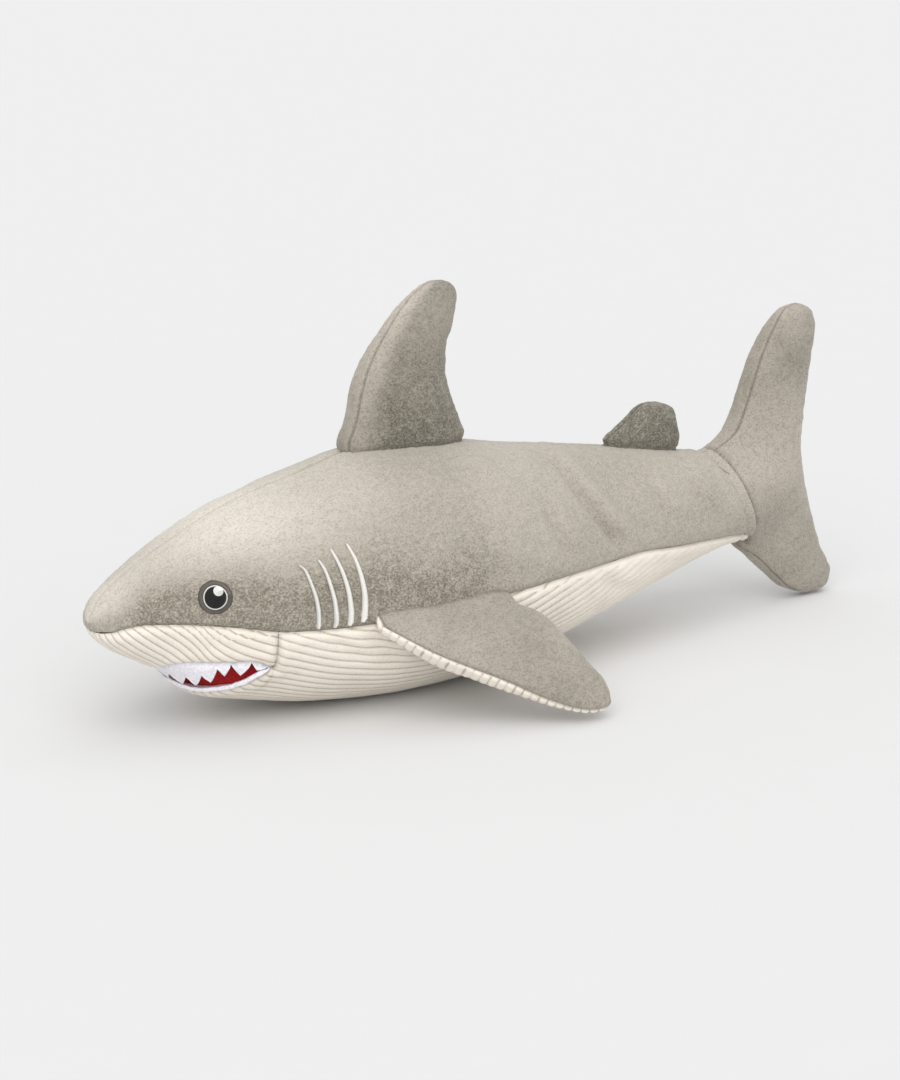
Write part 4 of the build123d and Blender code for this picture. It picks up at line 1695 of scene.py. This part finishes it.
@dataclass
class Fins:
    """All the toy's fins."""

    def side_fin(self, side: Side) -> SideFin:
        """The side fin on one side."""
        word = side.word
        return SideFin(
            name=f"pectoral_{word}",
            joint=f"pectoral_{word}_flap",
            body=Body.PECTORAL_LEFT if side is Side.LEFT else Body.PECTORAL_RIGHT,
            chord=83.0,
            height=80.5,
            thickness=20.0,
            lift=8.0,
            rows=PECTORAL_ROWS,
            panels=(
                (f"pectoral_{word}_underside_panel", Finish.CORDUROY),
                (f"pectoral_{word}_top_panel", Finish.VELOUR_DARK),
            ),
            droop=42.0,
            seam_side=1,
            nap_root=0.55,
            nap_tip=0.42,
            side=side,
        )

    def build(self) -> None:
        """Makes every fin."""
        for name, chord, height, thick, lift, rows, body, nap in (
            ("dorsal", 86.0, 95.0, 27.0, 7.0, DORSAL_ROWS, Body.DORSAL, (0.03, 0.44)),
            ("rear_dorsal", 61.0, 27.0, 14.0, 4.0, REAR_DORSAL_ROWS, Body.REAR_DORSAL, (0.0, 0.08)),
        ):
            panels = tuple((f"{name}_{side.word}_panel", Finish.VELOUR_DARK) for side in Side)
            low, high = nap
            joint = f"{name}_flop"
            fin = StuffedFin(
                name, joint, body, chord, height, thick, lift, rows, panels, nap_root=low, nap_tip=high
            )
            if body is Body.DORSAL:
                fin.nap_front = 0.42
            if body is Body.REAR_DORSAL:
                fin.section = Section(blunt=0.7, turn=6.0)
            fin.build()
        for side in Side:
            self.side_fin(side).build()
        Tail().build()


# ---------------------------------------------------------------- studio


@dataclass
class Studio:
    """A pale floor, soft lights and the camera."""

    floor_size: float = 60.0
    floor_colour: Colour = (0.857, 0.857, 0.857)
    target: tuple[float, float, float] = (254.5, -3.2, 83.8)
    eye: tuple[float, float, float] = (-853.5, -1585.6, 601.5)
    lens: float = 107.5

    def floor(self) -> None:
        """Lays the floor."""
        bm = bmesh.new()
        bmesh.ops.create_grid(bm, x_segments=1, y_segments=1, size=self.floor_size)
        mesh = bpy.data.meshes.new("studio_floor")
        bm.to_mesh(mesh)
        bm.free()
        shader = Shader("studio_floor")
        grain = shader.noise(40.0, 2.0)
        shade = tuple(c * 0.998 for c in self.floor_colour)
        colour = shader.ramp(grain, [(0.3, shade), (0.7, self.floor_colour)])
        mesh.materials.append(shader.finish(colour, shader.bump(grain, 0.02, 0.02), 1.0, gloss=0.0))
        floor = bpy.data.objects.new("studio_floor", mesh)
        bpy.context.scene.collection.objects.link(floor)

    def sun(self, name: str, place: Sequence[float], power: float, softness: float) -> None:
        """Adds a soft far light aimed at the toy.

        Args:
            name: The light's name.
            place: The direction that it comes from.
            power: Its strength.
            softness: How wide it looks, in degrees.
        """
        data = bpy.data.lights.new(name, "SUN")
        data.energy, data.angle = power, math.radians(softness)
        lamp = bpy.data.objects.new(name, data)
        lamp.location = place
        lamp.rotation_euler = (-Vector(place)).to_track_quat("-Z", "Y").to_euler()
        bpy.context.scene.collection.objects.link(lamp)

    def camera(self) -> None:
        """Sets the camera."""
        data = bpy.data.cameras.new("camera")
        data.lens, data.sensor_width = self.lens, 36.0
        data.dof.use_dof = False
        camera = bpy.data.objects.new("camera", data)
        shift = np.array([FORM.shift, 0.0, 0.0])
        eye, target = (Vector((np.array(p) + shift) * MM) for p in (self.eye, self.target))
        camera.location = eye
        camera.rotation_euler = (target - eye).to_track_quat("-Z", "Y").to_euler()
        bpy.context.scene.collection.objects.link(camera)
        bpy.context.scene.camera = camera

    def build(self) -> None:
        """Sets up the whole studio."""
        self.floor()
        world = bpy.data.worlds.new("studio")
        world.use_nodes = True
        back = world.node_tree.nodes["Background"]
        back.inputs["Color"].default_value = (1.0, 1.0, 1.0, 1.0)
        back.inputs["Strength"].default_value = 0.72
        bpy.context.scene.world = world
        self.sun("key", (-0.8, -1.1, 1.5), 1.5, 60.0)
        self.sun("fill", (-1.1, -1.6, 0.35), 0.55, 60.0)
        self.sun("top", (0.5, 0.2, 1.6), 0.4, 60.0)
        self.camera()
        bpy.context.scene.view_settings.view_transform = "Standard"


def main() -> None:
    """Builds the toy and the studio."""
    logging.basicConfig(level=logging.INFO, format="%(name)s %(message)s")
    panels = TorsoPanels()
    panels.build()
    Mouth(panels).build()
    Eye().build()
    Gills().build()
    Fins().build()
    Studio().build()


if __name__ == "__main__":
    main()
